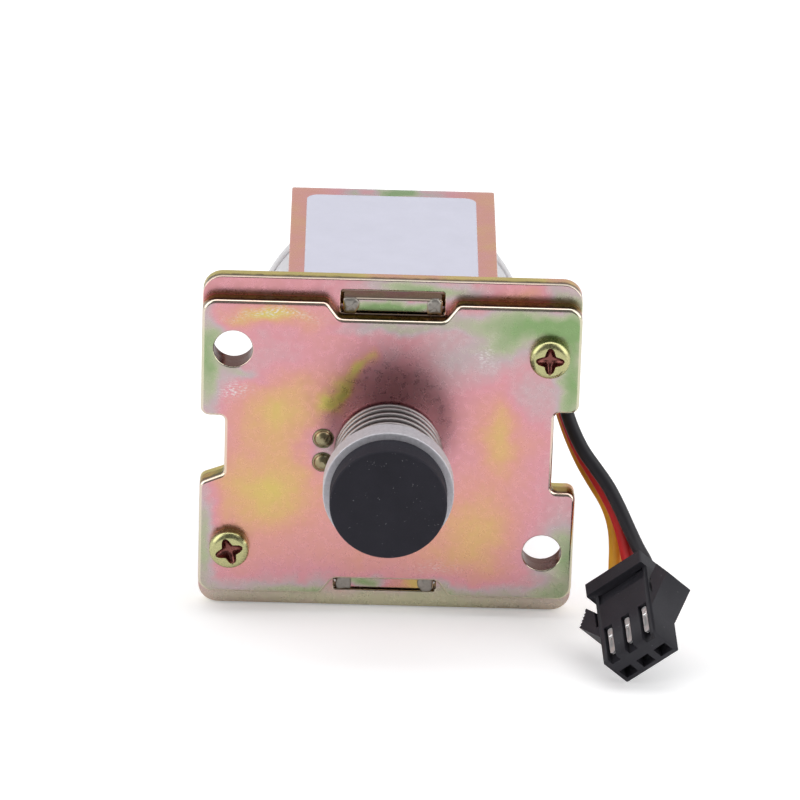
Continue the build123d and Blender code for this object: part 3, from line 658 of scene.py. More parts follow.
# Point (row, column) of a grid has the number row * columns + column + first, and each face joins it with its
# neighbours in the next column and the next row; every row closes up into a ring
def gridFaces(rows, columns, closeRows=False, first=0):
    row, column = np.meshgrid(np.arange(rows if closeRows else rows - 1), np.arange(columns), indexing="ij")
    nextRow, nextColumn = (row + 1) % rows, (column + 1) % columns
    corners = [
        row * columns + column, row * columns + nextColumn,
        nextRow * columns + nextColumn, nextRow * columns + column,
    ]
    return (np.stack(corners, axis=-1).reshape(-1, 4) + first).tolist()


# The first and the last ring of such a grid, each as one face
def endFaces(rows, columns):
    return [list(range(columns)), list(range((rows - 1) * columns, rows * columns))]


# A shell's points in millimetres and its faces become one object at the origin, with its normals outwards
# Points nearer than weld are one; marks say where the tint takes the place of the finish's colour
def makePiece(name, shell, finish, body, node, weld=0.0, weighted=True, marks=None, tint=None):
    points, faces = shell
    mesh = bpy.data.meshes.new(name)
    mesh.from_pydata((np.asarray(points, float) * mm).tolist(), [], faces)
    mesh.update()
    if marks is not None:
        shares = np.asarray(marks, np.float32)
        tints = np.broadcast_to(np.asarray(tint, np.float32), (len(shares), 4)).ravel()
        mesh.attributes.new("mark", "FLOAT", "POINT").data.foreach_set("value", shares)
        mesh.attributes.new("tint", "FLOAT_COLOR", "POINT").data.foreach_set("color", tints)
    work = bmesh.new()
    work.from_mesh(mesh)
    if weld > 0.0:
        bmesh.ops.remove_doubles(work, verts=work.verts, dist=weld * mm)
        bmesh.ops.dissolve_degenerate(work, edges=work.edges, dist=weld * mm * 0.1)
    bmesh.ops.recalc_face_normals(work, faces=work.faces)
    work.to_mesh(mesh)
    work.free()
    mesh.polygons.foreach_set("use_smooth", np.full(len(mesh.polygons), True))
    mesh.materials.append(finishes[finish])
    piece = bpy.data.objects.new(name, mesh)
    bpy.context.scene.collection.objects.link(piece)
    if weighted:
        mesh.set_sharp_from_angle(angle=math.radians(sharpAngle["made"]))
        modifier = piece.modifiers.new("evenShade", "WEIGHTED_NORMAL")
        modifier.weight = 100
        modifier.keep_sharp = True
    if body:
        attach(piece, body)
    if node:
        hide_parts(node)
    return piece


# Several shells of points and faces put together as one
def joined(shells):
    points, faces, count = [], [], 0
    for shellPoints, shellFaces in shells:
        points.append(np.asarray(shellPoints, float))
        faces += [[i + count for i in face] for face in shellFaces]
        count += len(shellPoints)
    return np.concatenate(points), faces


def rayAt(angle):
    return np.stack([np.cos(angle), np.sin(angle)], axis=-1)


def rectangle(x, y):
    return [(x[0], y[0]), (x[1], y[0]), (x[1], y[1]), (x[0], y[1])]


# Each corner becomes an arc that touches both sides. With h half the angle between them, its centre lies
# radius / sin(h) along the bisector, and it runs between the points radius / tan(h) along the sides; also its
# normals, which point away from the centre where the loop turns left and towards it where it turns right
def cornerArcs(before, corners, after, radii, steps):
    radii = np.broadcast_to(np.array(radii, float), (len(corners),))
    toLast = before - corners
    toNext = after - corners
    toLast /= np.linalg.norm(toLast, axis=1, keepdims=True)
    toNext /= np.linalg.norm(toNext, axis=1, keepdims=True)
    half = np.arccos(np.clip((toLast * toNext).sum(axis=1), -1, 1)) / 2
    bisector = toLast + toNext
    bisector /= np.linalg.norm(bisector, axis=1, keepdims=True)
    centre = corners + bisector * (radii / np.sin(half))[:, None]
    start = corners + toLast * (radii / np.tan(half))[:, None] - centre
    end = corners + toNext * (radii / np.tan(half))[:, None] - centre
    begin = np.arctan2(start[:, 1], start[:, 0])
    turn = (np.arctan2(end[:, 1], end[:, 0]) - begin + np.pi) % (2 * np.pi) - np.pi
    ray = rayAt(begin[:, None] + turn[:, None] * np.linspace(0, 1, steps + 1))
    points = centre[:, None] + radii[:, None, None] * ray
    normals = ray * np.sign(turn)[:, None, None]
    return points.reshape(-1, 2), normals.reshape(-1, 2)


# A closed loop with every corner rounded, and its outward normals
def roundedLoop(corners, radii, steps):
    corners = np.array(corners, float)
    return cornerArcs(np.roll(corners, 1, axis=0), corners, np.roll(corners, -1, axis=0), radii, steps)


# An open profile with its inner corners rounded, and its two ends as they are
def softProfile(corners, radii, steps):
    corners = np.array(corners, float)
    arcs, _ = cornerArcs(corners[:-2], corners[1:-1], corners[2:], radii, steps)
    return np.concatenate([corners[:1], arcs, corners[-1:]])


# A round hole as a loop: centre + radius (cos, sin) of each angle, with normals that point into the hole
def holeLoop(centre, radius, steps):
    ray = rayAt(np.linspace(0, 2 * np.pi, steps, endpoint=False))
    return np.array(centre) + radius * ray, -ray


edgeSteps = 6


# The profile of a cut edge, as inset and depth. Over the front it is a quarter circle of inset
# roll (1 - sin) and depth front + roll (1 - cos); at the back it has a small square break
def cutEdge(front, back, roll, breakEdge=0.06):
    angle = np.linspace(0, np.pi / 2, edgeSteps + 1)
    rolled = np.stack([roll * (1 - np.sin(angle)), front + roll * (1 - np.cos(angle))], axis=-1)
    square = np.array([[0.0, back - breakEdge], [breakEdge, back]])
    return np.concatenate([rolled, square])


# A flat plate: a ring of points is loop - inset * normals at each depth of the edge's profile, and the first
# rings and the last rings of all loops are each filled with triangles
def plateShell(loops, edges):
    points, faces, count = [], [], 0
    fronts, backs, frontIndex, backIndex = [], [], [], []
    for (loop, normals), edge in zip(loops, edges):
        rings = loop[None] - normals[None] * edge[:, 0][:, None, None]
        depth = np.broadcast_to(edge[:, 1][:, None, None], rings.shape[:2] + (1,))
        grid = np.concatenate([rings[..., :1], depth, rings[..., 1:]], axis=-1)
        faces += gridFaces(len(edge), len(loop), first=count)
        points.append(grid.reshape(-1, 3))
        fronts.append([Vector(corner) for corner in grid[0].tolist()])
        backs.append([Vector(corner) for corner in grid[-1].tolist()])
        frontIndex += list(range(count, count + len(loop)))
        backIndex += list(range(count + (len(edge) - 1) * len(loop), count + len(edge) * len(loop)))
        count += len(edge) * len(loop)
    for side, index in ((fronts, frontIndex), (backs, backIndex)):
        faces += [[index[i] for i in triangle] for triangle in geometry.tessellate_polygon(side)]
    return np.concatenate(points), faces


# A profile of radius and place along Y, turned round Y: x = radius cos(angle), z = radius sin(angle)
def turnedShell(profile, steps, centre=(0.0, 0.0)):
    angle = np.linspace(0, 2 * np.pi, steps, endpoint=False)
    x = centre[0] + profile[:, :1] * np.cos(angle)
    z = centre[1] + profile[:, :1] * np.sin(angle)
    y = np.broadcast_to(profile[:, 1:], x.shape)
    return np.stack([x, y, z], axis=-1).reshape(-1, 3), gridFaces(len(profile), steps)


# Front plate, in millimetres: holes have a place across and up and a radius
# A side notch has its floor's distance from the middle, its top, its bottom and its mouth's bottom; a tab's
# notch has half its floor's width, half its mouth's width, its depth and its corners' radius
frontPlate = {
    "node": "front_plate",
    "finish": "frontPlate",
    "width": 44.0,
    "height": 37.1,
    "front": 0.0,
    "thickness": 2.0,
    "corner": 1.7,
    "roll": 0.42,
    "tabNotch": (6.1, 7.6, 2.05, 1.05),
    "leftNotch": (19.15, 4.0, -3.4, -4.6),
    "rightNotch": (19.15, 5.4, -4.8, -4.8),
    "notchRadii": (0.7, 1.0),  # inside and at the mouth
    "notchRoom": 0.0,  # how much wider and deeper the side notches are than their values
    "holes": [(-18.35, 12.5, 2.25), (18.35, -12.5, 2.25), (18.35, 12.6, 1.45), (-18.35, -12.6, 1.45)],
    "bore": 5.4,
    "holeRoll": 0.18,
    "slots": [],
    "pips": [(-7.65, 1.5), (-7.65, -1.5)],
    "pipTint": seen(136, 148, 94),
    "pipMark": 0.75,
    # painted shade on the walls of the round holes
    "wallShadeTint": seen(112, 78, 70),
    # how far from a hole's wall, and from how far behind the face on, its painted shade reaches
    "wallReach": (0.03, 0.12),
    "cornerSteps": 8,
    "holeSteps": 64,
    "weld": 0.002,
}

# Rear plate: slots have half their width, bottom, top and corner
rearPlate = frontPlate | {
    "node": "rear_plate",
    "finish": "rearPlate",
    "height": 41.5,
    "front": 2.0,
    "corner": 2.3,
    "roll": 0.14,
    "tabNotch": None,
    "notchRoom": 0.35,
    "holes": [(-18.35, 12.5, 2.5), (18.35, -12.5, 2.5), (18.35, 12.6, 1.28), (-18.35, -12.6, 1.28)],
    "bore": 5.31,
    "slots": [(6.0, 16.6, 19.4, 0.3), (6.0, -18.7, -16.6, 0.3)],
    "slotRoll": 0.22,
    "slotSteps": 6,
    "pips": [],
}


# A plate's outline, anticlockwise from the lower left: corners and the radius of each
def plateOutline(plate):
    x, z, corner, room = plate["width"] / 2, plate["height"] / 2, plate["corner"], plate["notchRoom"]
    inner, outer = plate["notchRadii"]
    leftFloor, leftTop, leftLow, leftMouth = plate["leftNotch"]
    rightFloor, rightTop, rightLow, rightMouth = plate["rightNotch"]
    lowerTab = []
    if plate["tabNotch"]:
        half, mouth, depth, radius = plate["tabNotch"]
        places = [(-mouth, -z), (-half, depth - z), (half, depth - z), (mouth, -z)]
        lowerTab = [(across, up, radius) for across, up in places]
    upperTab = [(-across, -up, radius) for across, up, radius in lowerTab]
    corners = [
        (-x, -z, corner), *lowerTab, (x, -z, corner),
        (x, rightMouth - room, outer), (rightFloor - room, rightLow - room, inner),
        (rightFloor - room, rightTop + room, inner), (x, rightTop + room, outer),
        (x, z, corner), *upperTab, (-x, z, corner),
        (-x, leftTop + room, outer), (room - leftFloor, leftTop + room, inner),
        (room - leftFloor, leftLow - room, inner), (-x, leftMouth - room, outer),
    ]
    table = np.array(corners)
    return roundedLoop(table[:, :2], table[:, 2], plate["cornerSteps"])


# Pips: how wide the fillet at the foot is, how deep it sits in the plate, the top's share of the radius, the
# shoulder's share of the height, and the radius of each corner from the top down
pip = {
    "radius": 1.0, "height": 0.7, "foot": 0.28, "sunk": 0.5, "top": 0.35, "shoulder": 0.45,
    "radii": [0.7, 0.45, 0.2, 0.02, 0.02], "cornerSteps": 6, "steps": 48,
}


# A pip is a low dome with a small fillet round its foot; its underside is hidden in the plate
def pipShell(centre):
    radius, height, wide, sunk = pip["radius"], pip["height"], pip["radius"] + pip["foot"], pip["sunk"]
    corners = [
        (0.0, -height), (radius * pip["top"], -height), (radius, -height * pip["shoulder"]), (radius, 0.0),
        (wide, 0.0), (wide, sunk), (0.0, sunk),
    ]
    return turnedShell(softProfile(corners, pip["radii"], pip["cornerSteps"]), pip["steps"], centre)


# The walls of round holes get a painted shade from a little behind the face on
def wallShadeMarks(points, plate):
    across, behind = plate["wallReach"]
    marks = np.zeros(len(points))
    for x, z, radius in plate["holes"]:
        away = np.hypot(points[:, 0] - x, points[:, 2] - z)
        marks = np.maximum(marks, (away < radius + across) & (points[:, 1] > plate["front"] + behind))
    return marks


# The outline, the holes and the slots are loops with an edge for each, and the pips are shells of their own
def makePlate(name, plate):
    front, back = plate["front"], plate["front"] + plate["thickness"]
    loops = [plateOutline(plate)]
    edges = [cutEdge(front, back, plate["roll"])]
    for x, z, radius in [*plate["holes"], (0.0, 0.0, plate["bore"])]:
        loops.append(holeLoop((x, z), radius, plate["holeSteps"]))
        edges.append(cutEdge(front, back, plate["holeRoll"]))
    for half, low, high, corner in plate["slots"]:
        loop, normals = roundedLoop(rectangle((-half, half), (low, high)), corner, plate["slotSteps"])
        loops.append((loop, -normals))
        edges.append(cutEdge(front, back, plate["slotRoll"]))
    flat = plateShell(loops, edges)
    points, faces = joined([flat] + [pipShell(centre) for centre in plate["pips"]])
    inPips = np.arange(len(points)) >= len(flat[0])
    marks = np.where(inPips, plate["pipMark"], wallShadeMarks(points, plate))
    tint = np.where(inPips[:, None], plate["pipTint"], plate["wallShadeTint"])
    finish, node, weld = plate["finish"], plate["node"], plate["weld"]
    makePiece(name, (points, faces), finish, fixedBody, node, weld=weld, marks=marks, tint=tint)


makePlate("mounting_plate", frontPlate)
makePlate("backing_plate", rearPlate)
print("plates made")

# Screws: place across and up, and the turn of the cross in degrees; a quarter of an ellipse rounds the head
# The recess's floor has shares of the cross's radius, of its waist and of the depth; its wall has shares of
# the cross's radius, and how far it lies under the head
screw = {
    "places": [(18.35, 12.6, 0.0), (-18.35, -12.6, 20.0)],
    "head": 2.35, "height": 1.7, "shoulder": 0.85, "shoulderDrop": 0.86, "dome": 0.05,
    "thread": 1.25, "length": 4.0, "break": 0.1, "headBreak": 0.08, "steps": 144, "headRings": 12,
    "crossReach": 1.66, "crossWaist": 0.88, "crossWidth": 0.46, "crossPower": 2.0, "crossDepth": 0.95,
    "floor": [(0.0, 0.0, 1.0), (0.0, 0.45, 0.98), (0.45, 0.15, 0.86), (0.86, 0.0, 0.42)],
    "wall": [(0.96, 0.13), (0.99, 0.04)],
    "rim": 0.03,
    # painted shade in the cross recess: its floor and wall are tinted dark maroon
    "recessShadeTint": seen(140, 88, 82),
    "recessShadeMarks": [1.0, 1.0, 1.0, 1.0, 1.0, 0.6],
}


# The head's height over its radius: height - dome (radius / flat)^2, and over the shoulder a quarter of an
# ellipse goes off it
def headHeight(radius):
    flat = screw["head"] - screw["shoulder"]
    past = np.clip((radius - flat) / screw["shoulder"], 0, 1)
    drop = screw["shoulderDrop"] * screw["shoulder"] * (1 - np.sqrt(1 - past**2))
    return screw["height"] - screw["dome"] * (np.minimum(radius, flat) / flat) ** 2 - drop


# Rings run from the recess's floor up its wall, over the head and down to the thread's end
# The cross's radius is waist + (reach - waist) exp(-(angle from the nearest arm / width)^power)
def screwShell(x, z, turn):
    angle = np.linspace(0, 2 * np.pi, screw["steps"], endpoint=False)
    away = np.abs((angle + np.pi / 4) % (np.pi / 2) - np.pi / 4)
    arm = np.exp(-((away / screw["crossWidth"]) ** screw["crossPower"]))
    waist = screw["crossWaist"]
    cross = waist + (screw["crossReach"] - waist) * arm
    even = np.ones_like(cross)
    rings = [
        (cross * share + waist * waistShare, even * (screw["height"] - screw["crossDepth"] * depth))
        for share, waistShare, depth in screw["floor"]
    ]
    rings += [(cross * share, headHeight(cross) - under) for share, under in screw["wall"]]
    rim = cross + screw["rim"]
    head, headCut, thread, cut = screw["head"], screw["headBreak"], screw["thread"], screw["break"]
    length = screw["length"]
    for share in 1 - (1 - np.linspace(0, 1, screw["headRings"] + 1)) ** 2:
        radius = rim + (head - rim) * share
        rings.append((radius, headHeight(radius)))
    foot = [
        (head, headCut), (head - headCut, 0.0), (thread, 0.0), (thread, cut - length),
        (thread - cut, -length), (0.0, -length),
    ]
    rings += [(even * radius, even * level) for radius, level in foot]
    radius, height = (np.array(values) for values in zip(*rings))
    marks = screw["recessShadeMarks"] + [0.0] * (len(rings) - len(screw["recessShadeMarks"]))
    theta = angle + math.radians(turn)
    points = np.stack([x + radius * np.cos(theta), -height, z + radius * np.sin(theta)], axis=-1)
    return (points.reshape(-1, 3), gridFaces(len(rings), len(angle))), np.repeat(marks, len(angle))


screwShells, screwMarks = zip(*(screwShell(*place) for place in screw["places"]))
makePiece(
    "pan_screws", joined(screwShells), "screw", fixedBody, "plate_screws", weld=0.001,
    marks=np.concatenate(screwMarks), tint=screw["recessShadeTint"],
)
print("screws made")

# Yoke: a U of sheet steel with a tab at the end of each leg, and a stake at both sides of each tab
yoke = {
    "width": 24.5, "sheet": 1.5, "legCentre": 17.65, "front": 4.0, "back": 39.0, "bend": 1.65, "edge": 0.22,
    "tabWidth": 11.5, "tabEnd": 1.9, "tabChamfer": 0.12, "tabThin": 0.84, "runUp": 0.5,
    "bendSteps": 9, "cornerSteps": 4,
}
stake = {
    "place": 4.85, "size": (1.8, 1.9, 0.36), "power": 0.62,
    "wideDent": (0.08, 3), "smallDent": (0.05, 5),  # how deep, and how many round the stake
    "seeds": (1.3, 2.1), "grid": (15, 28),
}


# The section is a rounded rectangle carried along the U, from the end of one tab over the back to the other's
# It reaches half the width to each side, and a depth d across the sheet lies d (cos tilt, sin tilt) off the
# middle line; the width changes at the shoulders, where the tabs begin
def yokeShell():
    bend, leg, chamfer = yoke["bend"], yoke["legCentre"], yoke["tabChamfer"]
    flat = yoke["back"] - yoke["sheet"] / 2
    arc = np.linspace(0, np.pi / 2, yoke["bendSteps"] + 1)
    end, shoulder = yoke["tabEnd"], yoke["front"]
    straight = [end, end + chamfer, shoulder, shoulder, flat - bend - yoke["runUp"]]
    y = np.concatenate([straight, flat - bend + bend * np.sin(arc)])
    z = np.concatenate([[leg] * len(straight), leg - bend + bend * np.cos(arc)])
    tilt = np.concatenate([[np.pi / 2] * len(straight), np.pi / 2 - arc])
    tab = yoke["tabWidth"] / 2
    half = np.array([tab - chamfer, tab, tab] + [yoke["width"] / 2] * (len(y) - 3))
    thick = np.array([yoke["tabThin"]] + [1.0] * (len(y) - 1))
    y, half, thick = (np.concatenate([values, values[::-1]]) for values in (y, half, thick))
    z, tilt = (np.concatenate([values, -values[::-1]]) for values in (z, tilt))
    edge, count = yoke["edge"], yoke["cornerSteps"] + 1
    side = np.repeat([1, -1, -1, 1], count)
    face = np.repeat([1, 1, -1, -1], count)
    angle = (np.arange(4)[:, None] * np.pi / 2 + np.linspace(0, np.pi / 2, count)).ravel()
    x = half[:, None] * side + (edge * np.cos(angle) - edge * side)
    depth = thick[:, None] * (face * (yoke["sheet"] / 2 - edge) + edge * np.sin(angle))
    y = y[:, None] + depth * np.cos(tilt)[:, None]
    z = z[:, None] + depth * np.sin(tilt)[:, None]
    points = np.stack([x, y, z], axis=-1).reshape(-1, 3)
    return points, gridFaces(*x.shape) + endFaces(*x.shape)


# The sign of a value times its size to a small power: it pushes a ball towards a box
def squared(value):
    return np.sign(value) * np.abs(value) ** stake["power"]


# A stake is such a ball, times 1 + dents: sines of three and five times the angle u round it, which are
# weakened or shifted by the angle v from its middle to its poles
def stakeShell(x, z, seed):
    wide, high, deep = stake["size"]
    rows, columns = stake["grid"]
    u = np.linspace(0, 2 * np.pi, columns, endpoint=False)[None]
    v = np.linspace(-np.pi / 2, np.pi / 2, rows)[:, None]
    (wideDeep, wideCount), (smallDeep, smallCount) = stake["wideDent"], stake["smallDent"]
    dent = 1 + wideDeep * np.sin(wideCount * u + seed) * np.cos(v)
    dent = dent + smallDeep * np.sin(smallCount * u + 2 * v + 2 * seed)
    stakeX = x + wide / 2 * squared(np.cos(u)) * squared(np.cos(v)) * dent
    stakeZ = z + high / 2 * squared(np.sin(u)) * squared(np.cos(v)) * dent
    stakeY = yoke["tabEnd"] + deep * squared(np.sin(v)) * dent
    points = np.stack([stakeX, stakeY, stakeZ], axis=-1).reshape(-1, 3)
    return points, gridFaces(rows, columns)


makePiece("coil_frame", yokeShell(), "yoke", fixedBody, "yoke", weld=0.001)
sideSeed, levelSeed = stake["seeds"]
stakeShells = [
    stakeShell(side * stake["place"], level * yoke["legCentre"], sideSeed * side + levelSeed * level)
    for side in (-1, 1) for level in (-1, 1)
]
stakes = makePiece("tab_stakes", joined(stakeShells), "stake", fixedBody, None, weld=0.001, weighted=False)
print("yoke made")

# Label: a thin rounded slab that lies on the yoke's top face
label = {
    "x": (-10.4, 10.0), "y": (5.5, 34.6), "z": (18.4, 18.52), "corner": 1.5, "cornerSteps": 10,
    "roll": 0.05, "break": 0.01,
}
low, high = label["z"]
labelLoop = roundedLoop(rectangle(label["x"], label["y"]), label["corner"], label["cornerSteps"])
points, faces = plateShell([labelLoop], [cutEdge(0.0, high - low, label["roll"], label["break"])])
points = np.stack([points[:, 0], points[:, 2], high - points[:, 1]], axis=-1)
makePiece("bare_label", (points, faces), "label", fixedBody, "label")
print("label made")

# Coil: a former with two flanges, seen at both sides of the yoke, and the tape round the windings
coil = {
    "front": 4.1, "back": 37.4, "flange": 16.6, "thick": 1.5, "bore": 5.31, "wall": 6.51,
    "rim": 0.4, "innerCorner": 0.1, "cornerSteps": 5, "steps": 128,
}
# the block's arm reaches into the flange, and lies a little inside the faces that it meets
leadBlock = {
    "x": (16.4, 21.3), "y": (4.1, 10.8), "z": (10.2, 12.6), "corner": 0.4, "edge": 0.25,
    "armX": (10.0, 20.3), "armCorner": 0.3, "armEdge": 0.2, "inset": 0.03, "cornerSteps": 5, "edgeSteps": 3,
}
# the tape's gap to the flanges, its lap's thickness, and where the lap begins and ends and how steeply
tape = {
    "inside": 15.7, "outside": 16.13, "gap": 0.06, "lap": 0.06, "lapEnds": [(0.5, 30), (1.3, 4)],
    "steps": 160,
}


def spoolShell():
    bore, wall, flange, thick = coil["bore"], coil["wall"], coil["flange"], coil["thick"]
    front, back, rim, inner = coil["front"], coil["back"], coil["rim"], coil["innerCorner"]
    corners = [
        (bore, back), (bore, front), (flange, front), (flange, front + thick), (wall, front + thick),
        (wall, back - thick), (flange, back - thick), (flange, back), (bore, back),
    ]
    profile = softProfile(corners, [inner, rim, rim, inner, inner, rim, rim], coil["cornerSteps"])
    return turnedShell(profile, coil["steps"])


# A box with rounded edges: a ring is loop - inset * normals at each level, where inset and level follow a
# quarter circle of the edge's radius at the bottom and another one at the top
def blockShell(x, y, z, corner, edge):
    loop, normals = roundedLoop(rectangle(x, y), corner, leadBlock["cornerSteps"])
    angle = np.linspace(0, np.pi / 2, leadBlock["edgeSteps"] + 1)
    inset = np.concatenate([edge * (1 - np.sin(angle)), edge * (1 - np.cos(angle))])
    level = np.concatenate([z[0] + edge * (1 - np.cos(angle)), z[1] - edge * (1 - np.sin(angle))])
    rings = loop[None] - normals[None] * inset[:, None, None]
    height = np.broadcast_to(level[:, None, None], rings.shape[:2] + (1,))
    points = np.concatenate([rings, height], axis=-1).reshape(-1, 3)
    return points, gridFaces(*rings.shape[:2]) + endFaces(*rings.shape[:2])


def armShell():
    front, thick, inset = coil["front"], coil["thick"], leadBlock["inset"]
    low, high = leadBlock["z"]
    y, z = (front + inset, front + thick - inset), (low + inset, high - inset)
    return blockShell(leadBlock["armX"], y, z, leadBlock["armCorner"], leadBlock["armEdge"])


# The outer radius rises by lap / (1 + e^(-steepness (angle - place))) where the tape's end lies on the turn
# below it, and falls again in the same way
def tapeShell():
    angle = np.linspace(0, 2 * np.pi, tape["steps"], endpoint=False)
    rise, fall = (1 / (1 + np.exp(-(angle - place) * steep)) for place, steep in tape["lapEnds"])
    front, back = coil["front"] + coil["thick"] + tape["gap"], coil["back"] - coil["thick"] - tape["gap"]
    radii = np.array([tape["inside"], tape["outside"], tape["outside"], tape["inside"]])[:, None]
    radius = radii + (radii > tape["inside"]) * (tape["lap"] * (rise - fall))
    y = np.broadcast_to(np.array([front, front, back, back])[:, None], radius.shape)
    points = np.stack([radius * np.cos(angle), y, radius * np.sin(angle)], axis=-1)
    return points.reshape(-1, 3), gridFaces(4, tape["steps"], closeRows=True)


block = blockShell(leadBlock["x"], leadBlock["y"], leadBlock["z"], leadBlock["corner"], leadBlock["edge"])
makePiece("coil_spool", joined([spoolShell(), armShell(), block]), "bobbin", fixedBody, "bobbin", weld=0.001)
makePiece("coil_tape", tapeShell(), "wrap", fixedBody, "coil_wrap")
print("coil made")

# Spring: a helix whose pitch is close in the first and the last turn and open in between
spring = {
    "radius": 6.05, "wire": 0.35, "start": -0.37, "closed": 0.72, "open": 1.384, "turns": 7,
    "perTurn": 64, "sides": 14,
}


# The wire's middle is radius (cos, sin) of the angle round Y, which grows by a full turn for each whole
# number, and lies the sum of the pitches so far in front of the start. Its section is a circle across it
def springShell():
    turns = spring["turns"]
    u = np.linspace(0, turns, turns * spring["perTurn"] + 1)
    pitches = [0, spring["closed"], (turns - 2) * spring["open"], spring["closed"]]
    rise = np.interp(u, [0, 1, turns - 1, turns], np.cumsum(pitches))
    theta = 2 * np.pi * u - np.pi / 2
    ray = np.stack([np.cos(theta), np.zeros_like(u), np.sin(theta)], axis=-1)
    middle = ray * spring["radius"]
    middle[:, 1] = spring["start"] - rise
    along = np.gradient(middle, axis=0)
    along /= np.linalg.norm(along, axis=1, keepdims=True)
    side = np.cross(along, ray)
    phi = np.linspace(0, 2 * np.pi, spring["sides"], endpoint=False)
    ring = np.cos(phi)[None, :, None] * ray[:, None] + np.sin(phi)[None, :, None] * side[:, None]
    points = (middle[:, None] + spring["wire"] * ring).reshape(-1, 3)
    return points, gridFaces(len(u), spring["sides"]) + endFaces(len(u), spring["sides"])


springPiece = makePiece("valve_spring", springShell(), "spring", None, "return_spring", weighted=False)
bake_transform(springPiece)
print("spring made")

# Turned pieces: corners of radius and place along Y in mm, the radius of each inner corner, the steps in each
# corner and round Y. The disc's back gets a painted shade: it begins here along Y and ends within this radius
turned = {
    "disc_body": {
        "node": "valve_disc", "finish": "disc", "body": movingBody, "cornerSteps": 6, "steps": 128,
        "corners": [
            (1.65, -8.0), (4.9, -8.0), (5.55, -8.1), (5.55, -9.1), (7.55, -9.1), (7.55, -11.8), (3.6, -11.8),
            (3.6, -12.8), (4.4, -12.8), (4.4, -13.7), (2.6, -13.7), (2.6, -13.0), (1.65, -13.0), (1.65, -8.0),
        ],
        "radii": [0.1, 0.1, 0.1, 0.14, 0.16, 0.1, 0.1, 0.2, 0.2, 0.1, 0.1, 0.1],
        "backTint": seen(58, 48, 46), "backFrom": -9.15, "backWithin": 7.45,
    },
    "rubber_seal": {
        "node": "seal_pad", "finish": "seal", "body": movingBody, "cornerSteps": 6, "steps": 128,
        "corners": [
            (3.63, -11.8), (6.75, -11.8), (6.75, -15.15), (0.0, -15.15), (0.0, -13.73), (4.43, -13.73),
            (4.43, -12.77), (3.63, -12.77), (3.63, -11.8),
        ],
        "radii": [0.12, 0.3, 0.0001, 0.0001, 0.15, 0.15, 0.05],
    },
    "sliding_plunger": {
        "node": "plunger", "finish": "plunger", "body": movingBody, "cornerSteps": 5, "steps": 96,
        "corners": [
            (0.0, 18.75), (4.75, 18.75), (4.75, -8.0), (1.6, -8.0), (1.6, -13.0), (2.5, -13.0), (2.0, -13.56),
            (0.0, -13.56),
        ],
        "radii": [0.4, 0.4, 0.05, 0.05, 0.05, 0.1],
    },
    # the fixed core's riveted head shows at the yoke's back
    "core_stop": {
        "node": "fixed_core", "finish": "core", "body": fixedBody, "cornerSteps": 5, "steps": 96,
        "corners": [
            (0.0, 22.0), (4.76, 22.0), (4.76, 25.0), (3.86, 25.0), (3.86, 26.2), (4.76, 26.2), (4.76, 37.5),
            (3.0, 37.5), (3.0, 39.0), (4.2, 39.0), (4.2, 39.25), (3.7, 39.8), (1.2, 39.72), (0.0, 39.55),
        ],
        "radii": [0.1, 0.05, 0.05, 0.05, 0.05, 0.1, 0.05, 0.05, 0.05, 0.15, 0.2, 0.3],
    },
}
for name, facts in turned.items():
    profile = softProfile(facts["corners"], facts["radii"], facts["cornerSteps"])
    marks = None
    if "backTint" in facts:
        atBack = (profile[:, 1] > facts["backFrom"]) & (profile[:, 0] < facts["backWithin"])
        marks = np.repeat(atBack, facts["steps"])
    shell = turnedShell(profile, facts["steps"])
    tint = facts.get("backTint")
    makePiece(name, shell, facts["finish"], facts["body"], facts["node"], weld=0.001, marks=marks, tint=tint)
print("turned pieces made:", len(turned))

# The hidden pieces keep their CAD shapes
hidden = {
    "pull_in_winding": "pullInWire", "holding_winding": "holdingWire", "winding_insulation": "film",
    "guide_tube": "tube", "plate_o_ring": "ring", "core_o_ring": "ring", "anti_stick_washer": "washer",
    "coil_terminals": "pin",
}
for node, finish in hidden.items():
    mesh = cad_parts[node].data
    mesh.materials.clear()
    mesh.materials.append(finishes[finish])
print("hidden pieces finished:", len(hidden))

# Room: a white floor and background, and soft lamps
room = {
    "floor": -21.0, "size": 3000.0, "floorColour": seen(247, 247, 248), "floorRoughness": 0.9,
    # what the camera alone sees added to the floor, so that it is white and keeps its shadow: near and far,
    # and how far from the middle that is, in metres
    "floorGlow": (0.30, 1.0), "glowReach": (0.10, 0.40),
    # share of the way from the front horizon over the top to the back one, and the room's brightness there
    "skyStops": [
        (0.0, 0.09), (0.43, 0.10), (0.47, 0.66), (0.62, 0.66),
        (0.66, 0.14), (0.72, 0.16), (0.80, 0.46), (1.0, 0.50),
    ],
    "skyStrength": 1.55,
    # to each side: where its brightness begins and is full, and how bright it is
    "skySides": (0.50, 0.85, 0.50),
}
# Lamps: place, point that they shine at and size in metres
lamps = {
    "key": {"place": (0.0, 0.09, 0.60), "aim": (0.0, 0.0, 0.0), "size": (0.90, 0.40), "watts": 1.15},
    "left": {"place": (-0.42, -0.12, 0.25), "aim": (0.0, 0.0, 0.0), "size": (0.45, 0.45), "watts": 0.8},
    "right": {"place": (0.42, -0.12, 0.25), "aim": (0.0, 0.0, 0.0), "size": (0.45, 0.45), "watts": 0.8},
}


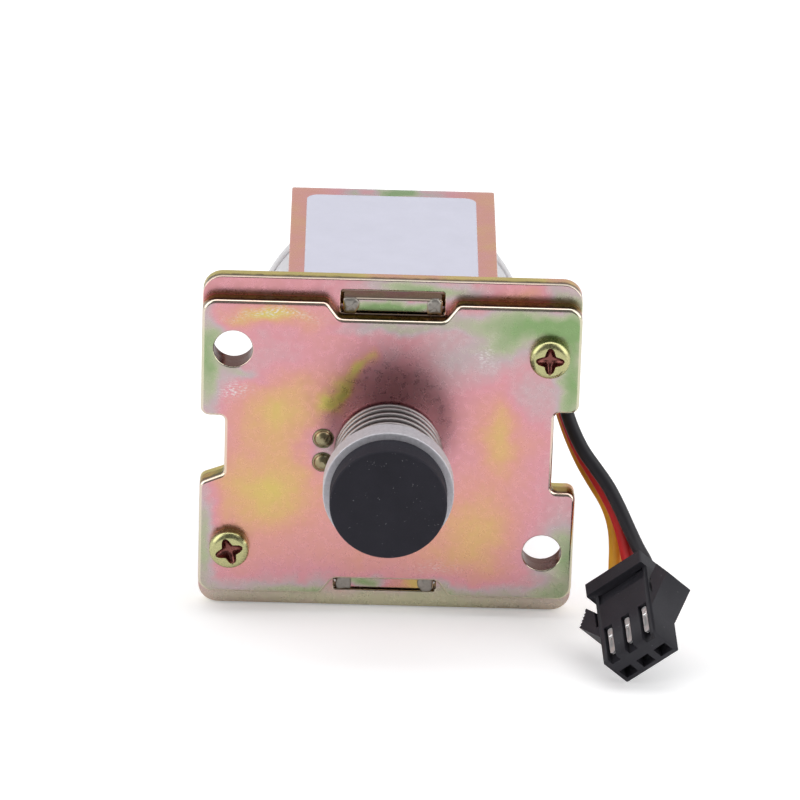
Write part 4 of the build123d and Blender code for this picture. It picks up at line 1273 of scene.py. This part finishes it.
def makeFloor():
    half = room["size"] / 2
    mesh = bpy.data.meshes.new("floor")
    corners = [(x, y, room["floor"]) for x, y in rectangle((-half, half), (-half, half))]
    mesh.from_pydata((np.array(corners) * mm).tolist(), [], [[0, 1, 2, 3]])
    material, tree, surface = startMaterial(
        "floorFinish", Base_Color=room["floorColour"], Roughness=room["floorRoughness"],
        Specular_IOR_Level=0.0, Emission_Color=white,
    )
    cameraRay = addNode(tree, "ShaderNodeLightPath").outputs["Is Camera Ray"]
    coords = addNode(tree, "ShaderNodeTexCoord").outputs["Object"]
    away = addNode(tree, "ShaderNodeVectorMath", {0: coords}, operation="LENGTH").outputs["Value"]
    glow = remap(tree, away, *room["glowReach"], *room["floorGlow"], smooth=True)
    feed(tree, surface, Emission_Strength=times(tree, cameraRay, glow))
    mesh.materials.append(material)
    floor = bpy.data.objects.new("floor", mesh)
    bpy.context.scene.collection.objects.link(floor)


def makeLamp(name, lamp):
    light = bpy.data.lights.new(f"{name}Lamp", "AREA")
    light.shape = "RECTANGLE"
    light.size, light.size_y = lamp["size"]
    light.energy = lamp["watts"]
    lampObject = bpy.data.objects.new(f"{name}Lamp", light)
    place = Vector(lamp["place"])
    turn = (Vector(lamp["aim"]) - place).to_track_quat("-Z", "Y").to_matrix().to_4x4()
    lampObject.matrix_world = Matrix.Translation(place) @ turn
    bpy.context.scene.collection.objects.link(lampObject)


# The camera sees white; all else sees a studio that changes from the front over the top to the back
def makeWorld():
    world = bpy.data.worlds.new("studio")
    world.use_nodes = True
    bpy.context.scene.world = world
    tree = world.node_tree
    background = tree.nodes["Background"]
    parts = separated(tree, addNode(tree, "ShaderNodeTexCoord").outputs["Generated"])
    angle = maths(tree, "ARCTAN2", parts["Z"], times(tree, parts["Y"], -1.0))
    stops = [(place, (level, level, level, 1.0)) for place, level in room["skyStops"]]
    sky = ramp(tree, remap(tree, angle, 0.0, math.pi), stops)
    begin, full, level = room["skySides"]
    side = remap(tree, maths(tree, "ABSOLUTE", parts["X"]), begin, full, smooth=True)
    sky = mixed(tree, side, sky, (level, level, level, 1.0))
    cameraRay = addNode(tree, "ShaderNodeLightPath").outputs["Is Camera Ray"]
    strength = remap(tree, cameraRay, 0.0, 1.0, room["skyStrength"], 1.0)
    feed(tree, background, Color=mixed(tree, cameraRay, sky, white), Strength=strength)


makeFloor()
for name, lamp in lamps.items():
    makeLamp(name, lamp)
makeWorld()
bpy.context.scene.view_settings.view_transform = "Standard"
print("room lit")
